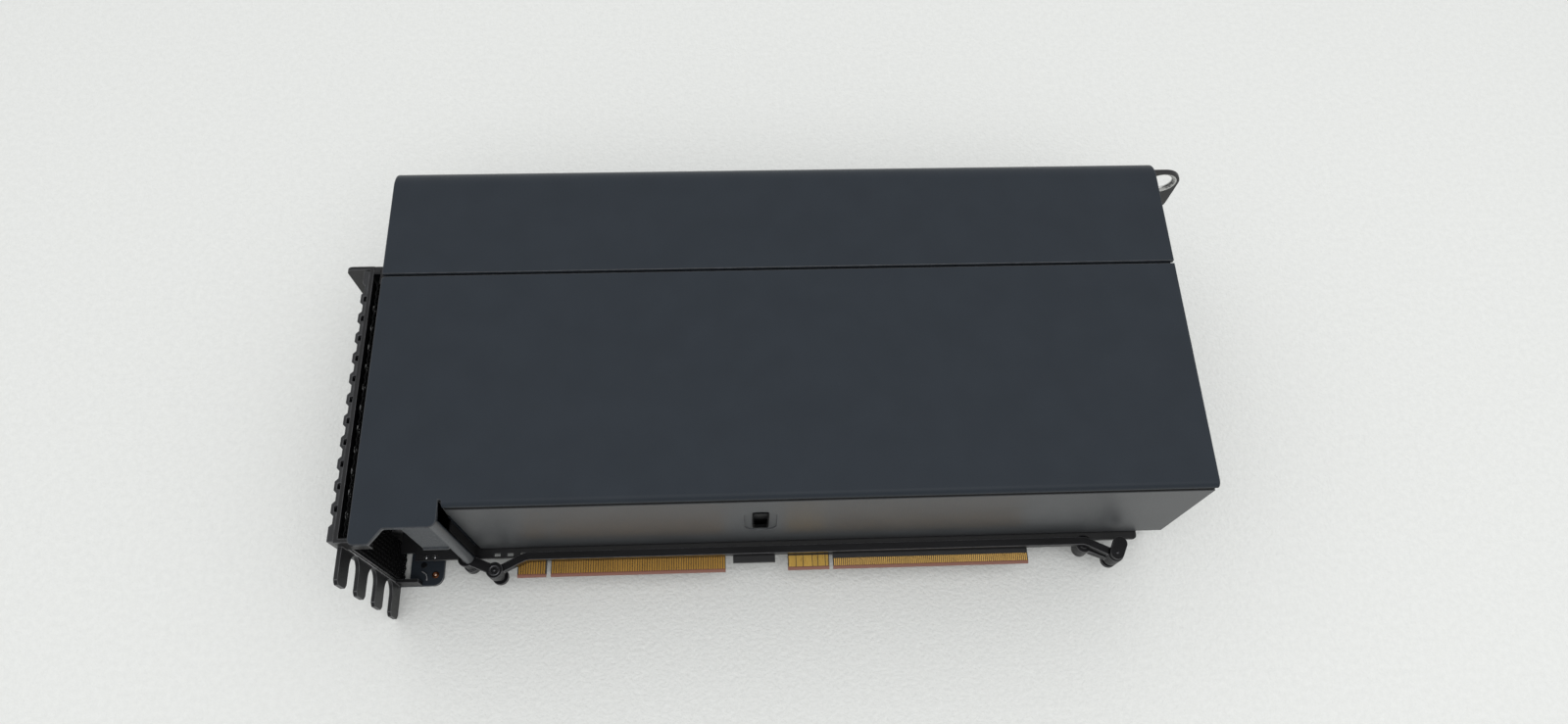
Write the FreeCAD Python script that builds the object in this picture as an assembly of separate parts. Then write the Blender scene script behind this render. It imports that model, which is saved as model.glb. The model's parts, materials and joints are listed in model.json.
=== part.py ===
import FreeCAD, Part
import math
import os

V = FreeCAD.Vector

# Graphics card module, four expansion slots wide, lying on its solder side.
# Millimetres. X runs from the rear bracket to the front end, Y from the edge connectors to the
# outboard side, Z up. The origin is the middle of the housing on the face that it lies on.

# Housing
HOUSING_LENGTH = 315.1
HOUSING_DEPTH = 145.1
HOUSING_HEIGHT = 81.2
COVER_SHEET = 2.0
OUTBOARD_DEPTH = 50.55
OUTBOARD_RADIUS = 10.0
SEAM_GAP = 1.0
SEAM_CORNER_RADIUS = 1.5
SEAM_STRIP_WIDTH = 16.0
SEAM_STRIP_SHEET = 1.6
LIP_RADIUS = 2.4
LIP_HEIGHT = 2.75
LIP_START = 31.3
LAP_SHEET = 1.4
LAP_HEIGHT = 6.5
GROOVE_HEIGHT = 2.9
WALL_SHEET = 1.5
SEAT_GAP = 0.2
TRAY_INSET = 6.0

# Window in the connector-side wall, with the shallow oval around it
WINDOW_WIDTH = 6.3
WINDOW_HEIGHT = 20.7
WINDOW_RADIUS = 2.0
WINDOW_X = 99.35
WINDOW_Z = 33.3
RECESS_MARGIN = 3.1
RECESS_DEPTH = 0.6
RECESS_FULLNESS = 0.98

# Rear corner of the covers, beside the bracket
IO_TAB_REACH = 13.35
IO_TAB_WIDTH = 7.5
IO_TAB_RADIUS = 2.5
IO_RAMP_RUN = 4.3
IO_BOX_REACH = 7.65
IO_BOX_LENGTH = 30.5
IO_BOX_RADIUS = 2.9
IO_WALL_WIDTH = 12.7
IO_WALL_FOOT = 34.4
IO_HEM_HEIGHT = 1.4
IO_HEM_PROUD = 0.5
RELIEF_REACH = 4.3
RELIEF_DROP = 15.5
FOOT_PLATE_LENGTH = 17.7
FOOT_PLATE_RADIUS = 4.0
FOOT_PLATE_NECK = 2.8
BOTTOM_REAR_REACH = 1.3

# Circuit board, with the standard card edge
BOARD_LIFT = 16.0
BOARD_SHEET = 1.57
BOARD_GAP = 0.8
CONNECTOR_SETBACK = 46.7
TONGUE_REACH = 12.15
EDGE_STEP = 8.25
EDGE_BEVEL = 1.2
EDGE_BEVEL_DEPTH = 0.45
KEY_TO_START = 11.65
KEY_WIDTH = 1.9
KEY_DEPTH = 7.6
X16_LENGTH = 84.95
TAB_GAP = 3.05
TAB_LENGTH = 17.4
TAB_DROP = 4.7
POWER_GAP = 5.2
POWER_LENGTH = 17.1
FINE_GAP = 1.6
FINE_LENGTH = 81.3
FINE_GAP_DEPTH = 6.0
FRONT_EDGE_SETBACK = 0.75
BOARD_REAR_REACH = 1.3
BOARD_FRONT_INSET = 10.65
BOARD_FAR_INSET = 14.0
BOARD_RADIUS = 4.0
BOARD_EDGE_RADIUS = 1.6
BOARD_NOTCH_RUN = 6.0
BOARD_NOTCH_DEPTH = 3.2
EDGE_SLOT_SETBACK = 1.4
WIDE_SLOT_LENGTH = 2.7
WIDE_SLOT_WIDTH = 1.4
WIDE_SLOT_PITCH = 5.3
WIDE_SLOT_START = -8.7
WIDE_SLOT_COUNT = 3
SMALL_SLOT_LENGTH = 1.9
SMALL_SLOT_WIDTH = 1.0
SMALL_SLOT_PITCH = 3.5
SMALL_SLOT_START = -37.4
SMALL_SLOT_COUNT = 2

# Edge contacts
CONTACT_SHEET = 0.05
X16_PITCH = 1.0
X16_PAD_WIDTH = 0.7
X16_PAD_LENGTH = 5.0
FINE_PITCH = 0.8
FINE_PAD_WIDTH = 0.5
FINE_PAD_LENGTH = 3.0
POWER_PADS = (2.9, 2.6, 3.6, 2.0, 2.8, 1.1)
POWER_PAD_LENGTH = 4.6
PAD_MARGIN = 0.35
PAD_SETBACK = 0.1

# Bracket at the rear
BRACKET_GAP = 5.2
BRACKET_SHEET = 1.6
BRACKET_REACH = 10.95
BRACKET_DEPTH = 110.5
BRACKET_LOW_GAP = 0.3
BRACKET_TOP_GAP = 5.5
SLOT_PITCH = 20.32
SLOT_OFFSET = 9.3
SLOT_COUNT = 4
SLOTS_BELOW = 1
PRONG_WIDTH = 9.6
PRONG_LENGTH = 13.6
PRONG_TIP_CUT = 0.7
PRONG_TIP_RUN = 1.6
FLANGE_OUT = 11.3
FLANGE_RADIUS = 3.0
FLANGE_HOLE_RADIUS = 2.2
FLANGE_HOLE_OUT = 6.6
FLANGE_HOLE_SPACING = 2
FOOT_TAB_LENGTH = 9.4
FOOT_TAB_HEIGHT = 6.3
UPPER_TAB_HEIGHT = 10.0
WINDOW_FRAME = 4.0
WINDOW_TOP_FRAME = 1.0

# Vent lattice on the bracket
LATTICE_SHEET = 2.3
LATTICE_MARGIN = 0.5
VENT_PITCH = 8.5
VENT_ROW_PITCH = 7.4
VENT_THROAT = 1.6
VENT_MOUTH = 3.9
VENT_TOP_INSET = 2.42
POCKET_WIDTH = 2.3
POCKET_DEPTH = 3.0
POCKET_SHEET = 1.1
POCKET_OFFSET = 4.1

# Sockets on the bracket
PORT_BAND = 19.0
PORT_FIRST_Y = 24.0
PORT_PITCH = 17.0
DATA_PORT_COUNT = 4
DATA_PORT_WIDTH = 8.9
DATA_PORT_HEIGHT = 3.3
DATA_PORT_CORNER = 1.1
VIDEO_PORT_WIDTH = 15.0
VIDEO_PORT_HEIGHT = 5.8
VIDEO_PORT_CORNER = 0.8
PORT_WALL = 0.35
PORT_DEPTH = 10.5
PORT_CLEARANCE = 0.2
PORT_TONGUE_SHEET = 0.7
PORT_TONGUE_SETBACK = 1.4

# Ejector linkage along the connector edge
REAR_PIVOT_INSET = 27.0
FRONT_PIVOT_OUT = 24.3
PIVOT_OUT = 7.0
LINK_LENGTH = 12.65
LINK_ANGLE = 23.5
LINK_WIDTH = 4.0
LINK_END_RADIUS = 3.3
REAR_LINK_SHEET = 2.0
FRONT_LINK_HEIGHT = 3.9
BAR_WIDTH = 3.2
BAR_HEIGHT = 3.4
BAR_OFFSET = 5.95
BAR_KNEE_RUN = 12.0
BAR_KNEE_RADIUS = 6.0
BAR_OVER_BOARD = 0.45
STACK_GAP = 0.3
PIN_RADIUS = 1.6
PIN_FIT = 0.05
PIN_HEAD_RADIUS = 3.3
PIN_HEAD_HEIGHT = 1.9
COLLAR_RADIUS = 2.6
LUG_RUN = 4.3
LUG_ANGLE = 64.0
LUG_RADIUS = 2.9
LUG_SHEET = 2.2
PIVOT_CLEARANCE = 0.7

# Rail under the board that carries the fixed pivots
RAIL_WIDTH = 3.6
RAIL_EDGE_GAP = 3.8
RAIL_EAR_SHEET = 1.9
RAIL_END = 7.5

# Cooler
FIN_SHEET = 0.5
FIN_PITCH = 3.8
FIN_SIDE_SHEET = 3.0
FIN_FLOOR = 1.0
FIN_REAR_INSET = 16.0
FIN_FRONT_INSET = 10.0
FIN_WALL_GAP = 0.4
FIN_FAR_GAP = 5.2
CHAMBER_REACH = 80.0
CHAMBER_GAP = 11.0
CHAMBER_DEPTH = 112.0
CHAMBER_SHEET = 4.0

# Chips and parts on the board
GPU_FROM_X16 = 105.0
GPU_FROM_EDGE = 74.0
SUBSTRATE_SIDE = 48.0
SUBSTRATE_HEIGHT = 1.8
DIE_SIDE = 26.0
DIE_HEIGHT = 0.8
MEMORY_LENGTH = 12.0
MEMORY_DEPTH = 14.0
MEMORY_HEIGHT = 1.2
MEMORY_STEP = 20.0
MEMORY_CLEAR = 13.0
INDUCTOR_SIDE = 7.0
INDUCTOR_HEIGHT = 4.5
PHASE_PITCH = 14.0
PHASE_COUNT = 8
INDUCTOR_SETBACK = 58.0
TRANSISTOR_LENGTH = 5.0
TRANSISTOR_DEPTH = 6.0
TRANSISTOR_HEIGHT = 1.0
TRANSISTOR_SETBACK = 43.0
CAPACITOR_LENGTH = 4.3
CAPACITOR_DEPTH = 7.3
CAPACITOR_HEIGHT = 2.8
CAPACITOR_SETBACK = 33.0
BRACE_SPAN = 66.0
BRACE_FRAME = 10.0
BRACE_SHEET = 1.5

# Standoffs and screws, all six-sided
HEX_SIDES = 6
STANDOFF_RADIUS = 3.0
STANDOFF_EDGE_INSET = 12.0
STANDOFF_WALL_GAP = 1.5
STANDOFF_COUNT_X = 3
SCREW_RADIUS = 1.25
SCREW_FIT = 0.1
SCREW_LENGTH = 6.0
SCREW_HEAD_RADIUS = 2.6
SCREW_HEAD_HEIGHT = 1.6

# Ring ear at the front end
EAR_SHEET = 1.8
EAR_OUT = 13.6
EAR_INNER_LENGTH = 30.0
EAR_HEIGHT = 31.0
EAR_TOP_DROP = 2.4
EAR_RADIUS = 7.9
EAR_HOLE_RADIUS = 5.0
EAR_BEVEL_RADIUS = 6.7
EAR_BEVEL_DEPTH = 0.9
EAR_SCREW_INSET = 8.0
EAR_STEP_GAP = 0.3

# Datums that follow from the sizes above
rear_x = -HOUSING_LENGTH / 2
front_x = HOUSING_LENGTH / 2
near_y = -HOUSING_DEPTH / 2
far_y = HOUSING_DEPTH / 2
top_z = HOUSING_HEIGHT
ceiling_z = top_z - COVER_SHEET
lip_end_z = top_z - LIP_HEIGHT
wall_top_z = lip_end_z - GROOVE_HEIGHT
wall_inner_y = near_y + WALL_SHEET
tray_y = near_y + TRAY_INSET
lip_x = rear_x + LIP_START
outboard_y = far_y - OUTBOARD_DEPTH
seam_y = outboard_y - SEAM_GAP
board_z = BOARD_LIFT
board_top = board_z + BOARD_SHEET
tongue_x = rear_x + CONNECTOR_SETBACK
tip_y = near_y - TONGUE_REACH
tab_x = tongue_x + X16_LENGTH + TAB_GAP
power_x = tab_x + TAB_LENGTH + POWER_GAP
fine_x = power_x + POWER_LENGTH + FINE_GAP
fine_end_x = fine_x + FINE_LENGTH
edge_y = tip_y + EDGE_STEP
board_rear_x = rear_x - BOARD_REAR_REACH
board_front_x = front_x - BOARD_FRONT_INSET
board_far_y = far_y - BOARD_FAR_INSET
io_y = near_y - IO_BOX_REACH
io_x = rear_x + IO_BOX_LENGTH
bracket_x = rear_x - BRACKET_GAP
bracket_out_x = bracket_x - BRACKET_SHEET
foot_y = near_y - BRACKET_REACH
flange_y = foot_y + BRACKET_DEPTH
bracket_low_z = BRACKET_LOW_GAP
bracket_high_z = top_z - BRACKET_TOP_GAP
port_band_z = board_z + PORT_BAND

# Heights of the linkage, stacked around the board edge
bar_low_z = board_top + BAR_OVER_BOARD
bar_high_z = bar_low_z + BAR_HEIGHT
rear_link_z = bar_high_z + STACK_GAP
rear_link_top = rear_link_z + REAR_LINK_SHEET
post_foot_z = rear_link_top + STACK_GAP
front_link_top = bar_low_z - STACK_GAP
front_link_z = front_link_top - FRONT_LINK_HEIGHT
ear_top_z = front_link_z - STACK_GAP
ear_low_z = ear_top_z - RAIL_EAR_SHEET
head_low_z = ear_low_z - PIN_HEAD_HEIGHT

pivot_y = tip_y + PIVOT_OUT
link_run = LINK_LENGTH * math.cos(math.radians(LINK_ANGLE))
link_drop = LINK_LENGTH * math.sin(math.radians(LINK_ANGLE))
rear_pivot = (rear_x + REAR_PIVOT_INSET, pivot_y)
front_pivot = (fine_end_x + FRONT_PIVOT_OUT, pivot_y)
rear_joint = (rear_pivot[0] + link_run, pivot_y - link_drop)
front_joint = (front_pivot[0] + link_run, pivot_y - link_drop)

# Cooler levels
die_top = board_top + SUBSTRATE_HEIGHT + DIE_HEIGHT
fin_z = die_top + CHAMBER_SHEET
strip_low_z = ceiling_z - SEAM_STRIP_SHEET
fin_top_z = strip_low_z - SEAT_GAP
fin_near_y = wall_inner_y + LAP_SHEET + FIN_WALL_GAP
fin_far_y = far_y - COVER_SHEET - FIN_FAR_GAP
gpu_x = tongue_x + GPU_FROM_X16
gpu_y = edge_y + GPU_FROM_EDGE
chamber_rear_x = gpu_x - CHAMBER_REACH
chamber_front_x = board_front_x - INDUCTOR_SETBACK - INDUCTOR_SIDE / 2 - CHAMBER_GAP


def at_x(x):
    """Maps outline points (y, z) to the plane at x."""
    return lambda u, v: V(x, u, v)


def at_y(y):
    """Maps outline points (x, z) to the plane at y."""
    return lambda u, v: V(u, y, v)


def at_z(z):
    """Maps outline points (x, y) to the plane at z."""
    return lambda u, v: V(u, v, z)


def outline(corners, place):
    """Face inside a closed outline of (u, v, radius) corners, each rounded by its radius."""
    count = len(corners)
    stops = []
    for i, (u, v, radius) in enumerate(corners):
        corner = V(u, v, 0)
        before = V(corners[i - 1][0], corners[i - 1][1], 0) - corner
        after = V(corners[(i + 1) % count][0], corners[(i + 1) % count][1], 0) - corner
        if radius <= 0:
            stops.append((corner, None, corner))
            continue
        before.normalize()
        after.normalize()
        half = before.getAngle(after) / 2
        reach = radius / math.tan(half)
        inward = before + after
        inward.normalize()
        middle = corner + inward * (radius / math.sin(half) - radius)
        stops.append((corner + before * reach, middle, corner + after * reach))
    edges = []
    for i, (start, middle, end) in enumerate(stops):
        following = stops[(i + 1) % count][0]
        if middle is not None:
            points = [place(p.x, p.y) for p in (start, middle, end)]
            edges.append(Part.Arc(*points).toShape())
        if end.distanceToPoint(following) > 1e-6:
            edges.append(Part.LineSegment(place(end.x, end.y), place(following.x, following.y)).toShape())
    return Part.Face(Part.Wire(edges))


def box(x0, x1, y0, y1, z0, z1):
    return Part.makeBox(x1 - x0, y1 - y0, z1 - z0, V(x0, y0, z0))


def upright(radius, x, y, z0, z1):
    return Part.makeCylinder(radius, z1 - z0, V(x, y, z0))


def hexagon(radius, centre, place):
    """Six-sided face with its corners at radius."""
    turns = [2 * math.pi * i / HEX_SIDES for i in range(HEX_SIDES)]
    corners = [(centre[0] + radius * math.cos(a), centre[1] + radius * math.sin(a), 0) for a in turns]
    return outline(corners, place)


def hex_upright(radius, x, y, z0, z1):
    return hexagon(radius, (x, y), at_z(z0)).extrude(V(0, 0, z1 - z0))


def rounded_bar(start, end, radius_start, radius_end, width, z0, z1):
    """Flat arm from start to end with a round boss at each end."""
    run = V(end[0] - start[0], end[1] - start[1], 0)
    side = V(-run.y, run.x, 0)
    side.normalize()
    side = side * (width / 2)
    corners = [V(*start, 0) - side, V(*end, 0) - side, V(*end, 0) + side, V(*start, 0) + side]
    arm = outline([(p.x, p.y, 0) for p in corners], at_z(z0)).extrude(V(0, 0, z1 - z0))
    bosses = [upright(radius_start, *start, z0, z1), upright(radius_end, *end, z0, z1)]
    return arm.multiFuse(bosses).removeSplitter()


def save(name, shape):
    shape.exportStep(os.path.join("parts", name + ".step"))


def group(solids):
    return Part.makeCompound(solids)


# Covers


def bent_sheet(y_edge, outer_z, lip_end_z, x0, x1, y_bend, up):
    """Sheet from y_edge to a rounded bend at y_bend, where it turns to lip_end_z. up is 1 or -1."""
    inner_radius = max(LIP_RADIUS - COVER_SHEET, 0)
    inner_z = outer_z + up * COVER_SHEET
    corners = [
        (y_edge, outer_z, 0),
        (y_bend, outer_z, LIP_RADIUS),
        (y_bend, lip_end_z, 0),
        (y_bend + COVER_SHEET, lip_end_z, 0),
        (y_bend + COVER_SHEET, inner_z, inner_radius),
        (y_edge, inner_z, 0),
    ]
    return outline(corners, at_x(x0)).extrude(V(x1 - x0, 0, 0))


def make_main_cover():
    """Top plate with a rolled lip, a lap behind the wall, a tab and a boxed corner beside the bracket."""
    lip = bent_sheet(seam_y, top_z, lip_end_z, lip_x, front_x, near_y, -1)
    lap_low_z = lip_end_z - LAP_HEIGHT
    lap = box(lip_x, front_x, wall_inner_y, wall_inner_y + LAP_SHEET, lap_low_z, ceiling_z)
    corner_tab_y = near_y - IO_TAB_REACH
    corner_tab_x = rear_x + IO_TAB_WIDTH
    plan = [
        (rear_x, seam_y, SEAM_CORNER_RADIUS),
        (rear_x, corner_tab_y, IO_TAB_RADIUS),
        (corner_tab_x, corner_tab_y, IO_TAB_RADIUS / 2),
        (corner_tab_x + IO_RAMP_RUN, io_y, IO_TAB_RADIUS / 2),
        (io_x, io_y, IO_BOX_RADIUS),
        (io_x, near_y + LIP_RADIUS, 0),
        (lip_x, near_y + LIP_RADIUS, 0),
        (lip_x, seam_y, 0),
    ]
    plate = outline(plan, at_z(ceiling_z)).extrude(V(0, 0, COVER_SHEET))
    wall_x = io_x - IO_WALL_WIDTH
    skirt_plan = [
        (wall_x, io_y, 0),
        (io_x, io_y, IO_BOX_RADIUS),
        (io_x, wall_inner_y, 0),
        (io_x - COVER_SHEET, wall_inner_y, 0),
        (io_x - COVER_SHEET, io_y + COVER_SHEET, max(IO_BOX_RADIUS - COVER_SHEET, 0)),
        (wall_x, io_y + COVER_SHEET, 0),
    ]
    skirt = outline(skirt_plan, at_z(post_foot_z)).extrude(V(0, 0, ceiling_z - post_foot_z))
    foot_z = board_z + IO_WALL_FOOT
    corner_x = io_x - IO_BOX_RADIUS
    opening = box(wall_x, corner_x, io_y, io_y + COVER_SHEET, post_foot_z, foot_z)
    hem = box(wall_x, corner_x, io_y - IO_HEM_PROUD, io_y, foot_z, foot_z + IO_HEM_HEIGHT)
    relief_profile = [
        (near_y - RELIEF_REACH, ceiling_z, 0),
        (wall_inner_y, ceiling_z, 0),
        (wall_inner_y, ceiling_z - RELIEF_DROP, 0),
    ]
    relief = outline(relief_profile, at_x(io_x)).extrude(V(-COVER_SHEET, 0, 0))
    return plate.multiFuse([lip, lap, skirt.cut(group([opening, relief])), hem]).removeSplitter()


def make_outboard_cover():
    """Channel with large rounded edges that closes the outboard side."""
    inner_radius = max(OUTBOARD_RADIUS - COVER_SHEET, 0)
    section = [
        (outboard_y, top_z, 0),
        (far_y, top_z, OUTBOARD_RADIUS),
        (far_y, 0, OUTBOARD_RADIUS),
        (outboard_y, 0, 0),
        (outboard_y, COVER_SHEET, 0),
        (far_y - COVER_SHEET, COVER_SHEET, inner_radius),
        (far_y - COVER_SHEET, ceiling_z, inner_radius),
        (outboard_y, ceiling_z, 0),
    ]
    return outline(section, at_x(rear_x)).extrude(V(HOUSING_LENGTH, 0, 0))


def make_bottom_cover():
    """Bottom tray with a low wall set back under the board, and a foot plate that meets the bracket."""
    foot_right_x = bracket_x + FOOT_PLATE_LENGTH
    tray = bent_sheet(seam_y, 0, board_z - BOARD_GAP, foot_right_x, front_x, tray_y, 1)
    rear_edge_x = rear_x - BOTTOM_REAR_REACH
    plan = [
        (rear_edge_x, seam_y, SEAM_CORNER_RADIUS),
        (rear_edge_x, foot_y + FOOT_PLATE_NECK, 0),
        (bracket_x, foot_y + BRACKET_SHEET, 0),
        (bracket_x, foot_y, 0),
        (foot_right_x, foot_y, FOOT_PLATE_RADIUS),
        (foot_right_x, seam_y, 0),
    ]
    plate = outline(plan, at_z(0)).extrude(V(0, 0, COVER_SHEET))
    return plate.fuse(tray).removeSplitter()


def make_side_wall():
    """Wall flush under the lip, a groove below it, with a window in a shallow oval."""
    wall = box(lip_x, front_x, near_y, wall_inner_y, board_top + BOARD_GAP, wall_top_z)
    x = tongue_x + WINDOW_X
    z = board_z + WINDOW_Z
    half_w = WINDOW_WIDTH / 2
    half_h = WINDOW_HEIGHT / 2
    window = rounded_panel(x, z, half_w, half_h, WINDOW_RADIUS, near_y, WALL_SHEET)
    oval_w = half_w + RECESS_MARGIN
    oval_h = half_h + RECESS_MARGIN
    recess = rounded_panel(x, z, oval_w, oval_h, oval_w * RECESS_FULLNESS, near_y, RECESS_DEPTH)
    return wall.cut(recess).cut(window)


def rounded_panel(x, z, half_w, half_h, radius, y, depth):
    """Rounded rectangle on the plane at y, extruded towards +Y."""
    corners = [
        (x - half_w, z - half_h, radius),
        (x + half_w, z - half_h, radius),
        (x + half_w, z + half_h, radius),
        (x - half_w, z + half_h, radius),
    ]
    return outline(corners, at_y(y)).extrude(V(0, depth, 0))


def make_seam_strips():
    """Inner strips that both covers seat on along the seam."""
    middle = (seam_y + outboard_y) / 2
    y0 = middle - SEAM_STRIP_WIDTH / 2
    y1 = middle + SEAM_STRIP_WIDTH / 2
    x0 = rear_x + COVER_SHEET
    x1 = front_x - COVER_SHEET
    top = box(x0, x1, y0, y1, strip_low_z, ceiling_z)
    low = box(x0, x1, y0, y1, COVER_SHEET, COVER_SHEET + SEAM_STRIP_SHEET)
    return top, low


# Bracket


def port_places():
    """Middle y of each socket: the data sockets, then the video socket."""
    first = tip_y + PORT_FIRST_Y
    data = [first + i * PORT_PITCH for i in range(DATA_PORT_COUNT)]
    return data, data[-1] + PORT_PITCH


def port_sizes():
    """Width, height and corner of a data socket and of the video socket."""
    data = (DATA_PORT_WIDTH, DATA_PORT_HEIGHT, DATA_PORT_CORNER)
    video = (VIDEO_PORT_WIDTH, VIDEO_PORT_HEIGHT, VIDEO_PORT_CORNER)
    return data, video


def port_block(y, size, x0, x1, grow):
    """Solid of a socket's outline standing on the board, grown by grow on every side."""
    width, height, corner = size
    y0 = y - width / 2 - grow
    y1 = y + width / 2 + grow
    z0 = board_top - grow
    z1 = board_top + height + grow
    corners = [
        (y0 + corner, z0, 0), (y1 - corner, z0, 0), (y1, z0 + corner, 0), (y1, z1 - corner, 0),
        (y1 - corner, z1, 0), (y0 + corner, z1, 0), (y0, z1 - corner, 0), (y0, z0 + corner, 0),
    ]
    return outline(corners, at_x(x0)).extrude(V(x1 - x0, 0, 0))


def port_blocks(x0, x1, grow):
    data, video = port_places()
    data_size, video_size = port_sizes()
    blocks = [port_block(y, data_size, x0, x1, grow) for y in data]
    return blocks, port_block(video, video_size, x0, x1, grow)


def prong_heights():
    first = board_z + SLOT_OFFSET - SLOTS_BELOW * SLOT_PITCH
    return [first + i * SLOT_PITCH for i in range(SLOT_COUNT)]


def make_io_bracket():
    """Sheet bracket: prongs and tabs at the foot, a flange at the head, an air window and socket holes."""
    heights = prong_heights()
    prong_tip = foot_y - PRONG_LENGTH
    plate = box(bracket_out_x, bracket_x, foot_y, flange_y + BRACKET_SHEET, bracket_low_z, bracket_high_z)
    prongs = []
    for z in heights:
        half = PRONG_WIDTH / 2
        prong = [
            (foot_y, z - half, 0),
            (prong_tip + PRONG_TIP_RUN, z - half, 0),
            (prong_tip + PRONG_TIP_CUT, z - half + PRONG_TIP_CUT, 0),
            (prong_tip, z - half + PRONG_TIP_RUN, 0),
            (prong_tip, z + half - PRONG_TIP_RUN, 0),
            (prong_tip + PRONG_TIP_CUT, z + half - PRONG_TIP_CUT, 0),
            (prong_tip + PRONG_TIP_RUN, z + half, 0),
            (foot_y, z + half, 0),
        ]
        prongs.append(outline(prong, at_x(bracket_out_x)).extrude(V(BRACKET_SHEET, 0, 0)))
    gap_radius = (SLOT_PITCH - PRONG_WIDTH) / 2
    webs = []
    for low, high in zip(heights, heights[1:]):
        web = box(bracket_out_x, bracket_x, foot_y - gap_radius, foot_y, low, high)
        middle = V(bracket_out_x, foot_y - gap_radius, (low + high) / 2)
        webs.append(web.cut(Part.makeCylinder(gap_radius, BRACKET_SHEET, middle, V(1, 0, 0))))
    flange_x = bracket_x - FLANGE_OUT
    flange_plan = [
        (bracket_x, bracket_low_z, 0),
        (flange_x, bracket_low_z, FLANGE_RADIUS),
        (flange_x, bracket_high_z, FLANGE_RADIUS),
        (bracket_x, bracket_high_z, 0),
    ]
    flange = outline(flange_plan, at_y(flange_y)).extrude(V(0, BRACKET_SHEET, 0))
    tab_end = bracket_x + FOOT_TAB_LENGTH
    low_tab_z = COVER_SHEET + SEAT_GAP
    high_tab_z = bracket_high_z
    tabs = [
        box(bracket_x, tab_end, foot_y, foot_y + BRACKET_SHEET, low_tab_z, low_tab_z + FOOT_TAB_HEIGHT),
        box(bracket_x, tab_end, foot_y, foot_y + BRACKET_SHEET, high_tab_z - UPPER_TAB_HEIGHT, high_tab_z),
    ]
    bracket = plate.multiFuse(prongs + webs + [flange] + tabs).removeSplitter()
    window = box(
        bracket_out_x, bracket_x, foot_y + WINDOW_FRAME, flange_y - WINDOW_FRAME,
        port_band_z + WINDOW_FRAME, bracket_high_z - WINDOW_TOP_FRAME,
    )
    data_holes, video_hole = port_blocks(bracket_out_x, bracket_x, PORT_CLEARANCE)
    holes = []
    for z in flange_hole_heights():
        place = V(bracket_x - FLANGE_HOLE_OUT, flange_y, z)
        holes.append(Part.makeCylinder(FLANGE_HOLE_RADIUS, BRACKET_SHEET, place, V(0, 1, 0)))
    return bracket.cut(group([window, video_hole] + data_holes + holes))


def flange_hole_heights():
    """Two screw holes, centred on the prongs, a whole number of slots apart."""
    heights = prong_heights()
    middle = (heights[0] + heights[-1]) / 2
    half = FLANGE_HOLE_SPACING * SLOT_PITCH / 2
    return [middle - half, middle + half]


def vent_hole(y, z):
    """Six-sided hole that widens towards the outer face of the lattice."""
    turns = [2 * math.pi * i / HEX_SIDES for i in range(HEX_SIDES)]
    rings = []
    for x, reach in ((bracket_out_x - LATTICE_SHEET, VENT_MOUTH), (bracket_out_x, VENT_THROAT)):
        rings.append([V(x, y + reach * math.cos(a), z + reach * math.sin(a)) for a in turns])
    mouth, throat = rings
    sides = [mouth, throat]
    for i in range(HEX_SIDES):
        j = (i + 1) % HEX_SIDES
        sides.append([mouth[i], mouth[j], throat[j], throat[i]])
    faces = [Part.Face(Part.makePolygon(points + points[:1])) for points in sides]
    return Part.makeSolid(Part.makeShell(faces))


def make_vent_lattice():
    """Plate of staggered vents outside the bracket; the top row scallops the edge, between small pockets."""
    y0 = foot_y + LATTICE_MARGIN
    y1 = flange_y - LATTICE_MARGIN
    plate = box(bracket_out_x - LATTICE_SHEET, bracket_out_x, y0, y1, port_band_z, bracket_high_z)
    rows = int((bracket_high_z - VENT_TOP_INSET - VENT_MOUTH - port_band_z) // VENT_ROW_PITCH) + 1
    columns = int((y1 - y0) // VENT_PITCH)
    spare = (y1 - y0 - (columns - 1) * VENT_PITCH) / 2
    holes = []
    for row in range(rows):
        z = bracket_high_z - VENT_TOP_INSET - row * VENT_ROW_PITCH
        shifted = row % 2
        for column in range(columns - shifted):
            holes.append(vent_hole(y0 + spare + (column + shifted / 2) * VENT_PITCH, z))
    pockets = []
    for column in range(columns - 1):
        middle = y0 + spare + column * VENT_PITCH + POCKET_OFFSET
        pockets.append(box(
            bracket_out_x - POCKET_SHEET, bracket_out_x, middle - POCKET_WIDTH / 2, middle + POCKET_WIDTH / 2,
            bracket_high_z - POCKET_DEPTH, bracket_high_z,
        ))
    return plate.cut(group(holes)).cut(group(pockets))


def port_shells(sizes_and_places):
    shells = []
    for size, y in sizes_and_places:
        outer = port_block(y, size, bracket_out_x, bracket_out_x + PORT_DEPTH, 0)
        inner = port_block(y, size, bracket_out_x, bracket_out_x + PORT_DEPTH - PORT_WALL, -PORT_WALL)
        shells.append(outer.cut(inner))
    return shells


def make_ports():
    data, video = port_places()
    data_size, video_size = port_sizes()
    data_sockets = [(data_size, y) for y in data]
    video_sockets = [(video_size, video)]
    mouth_x = bracket_out_x + PORT_TONGUE_SETBACK
    back_x = bracket_out_x + PORT_DEPTH - PORT_WALL
    tongues = []
    for (width, height, corner), y in data_sockets + video_sockets:
        half = width / 2 - corner - PORT_WALL
        z = board_top + (height - PORT_TONGUE_SHEET) / 2
        tongues.append(box(mouth_x, back_x, y - half, y + half, z, z + PORT_TONGUE_SHEET))
    return group(port_shells(data_sockets)), port_shells(video_sockets)[0], group(tongues)


# Board


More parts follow.
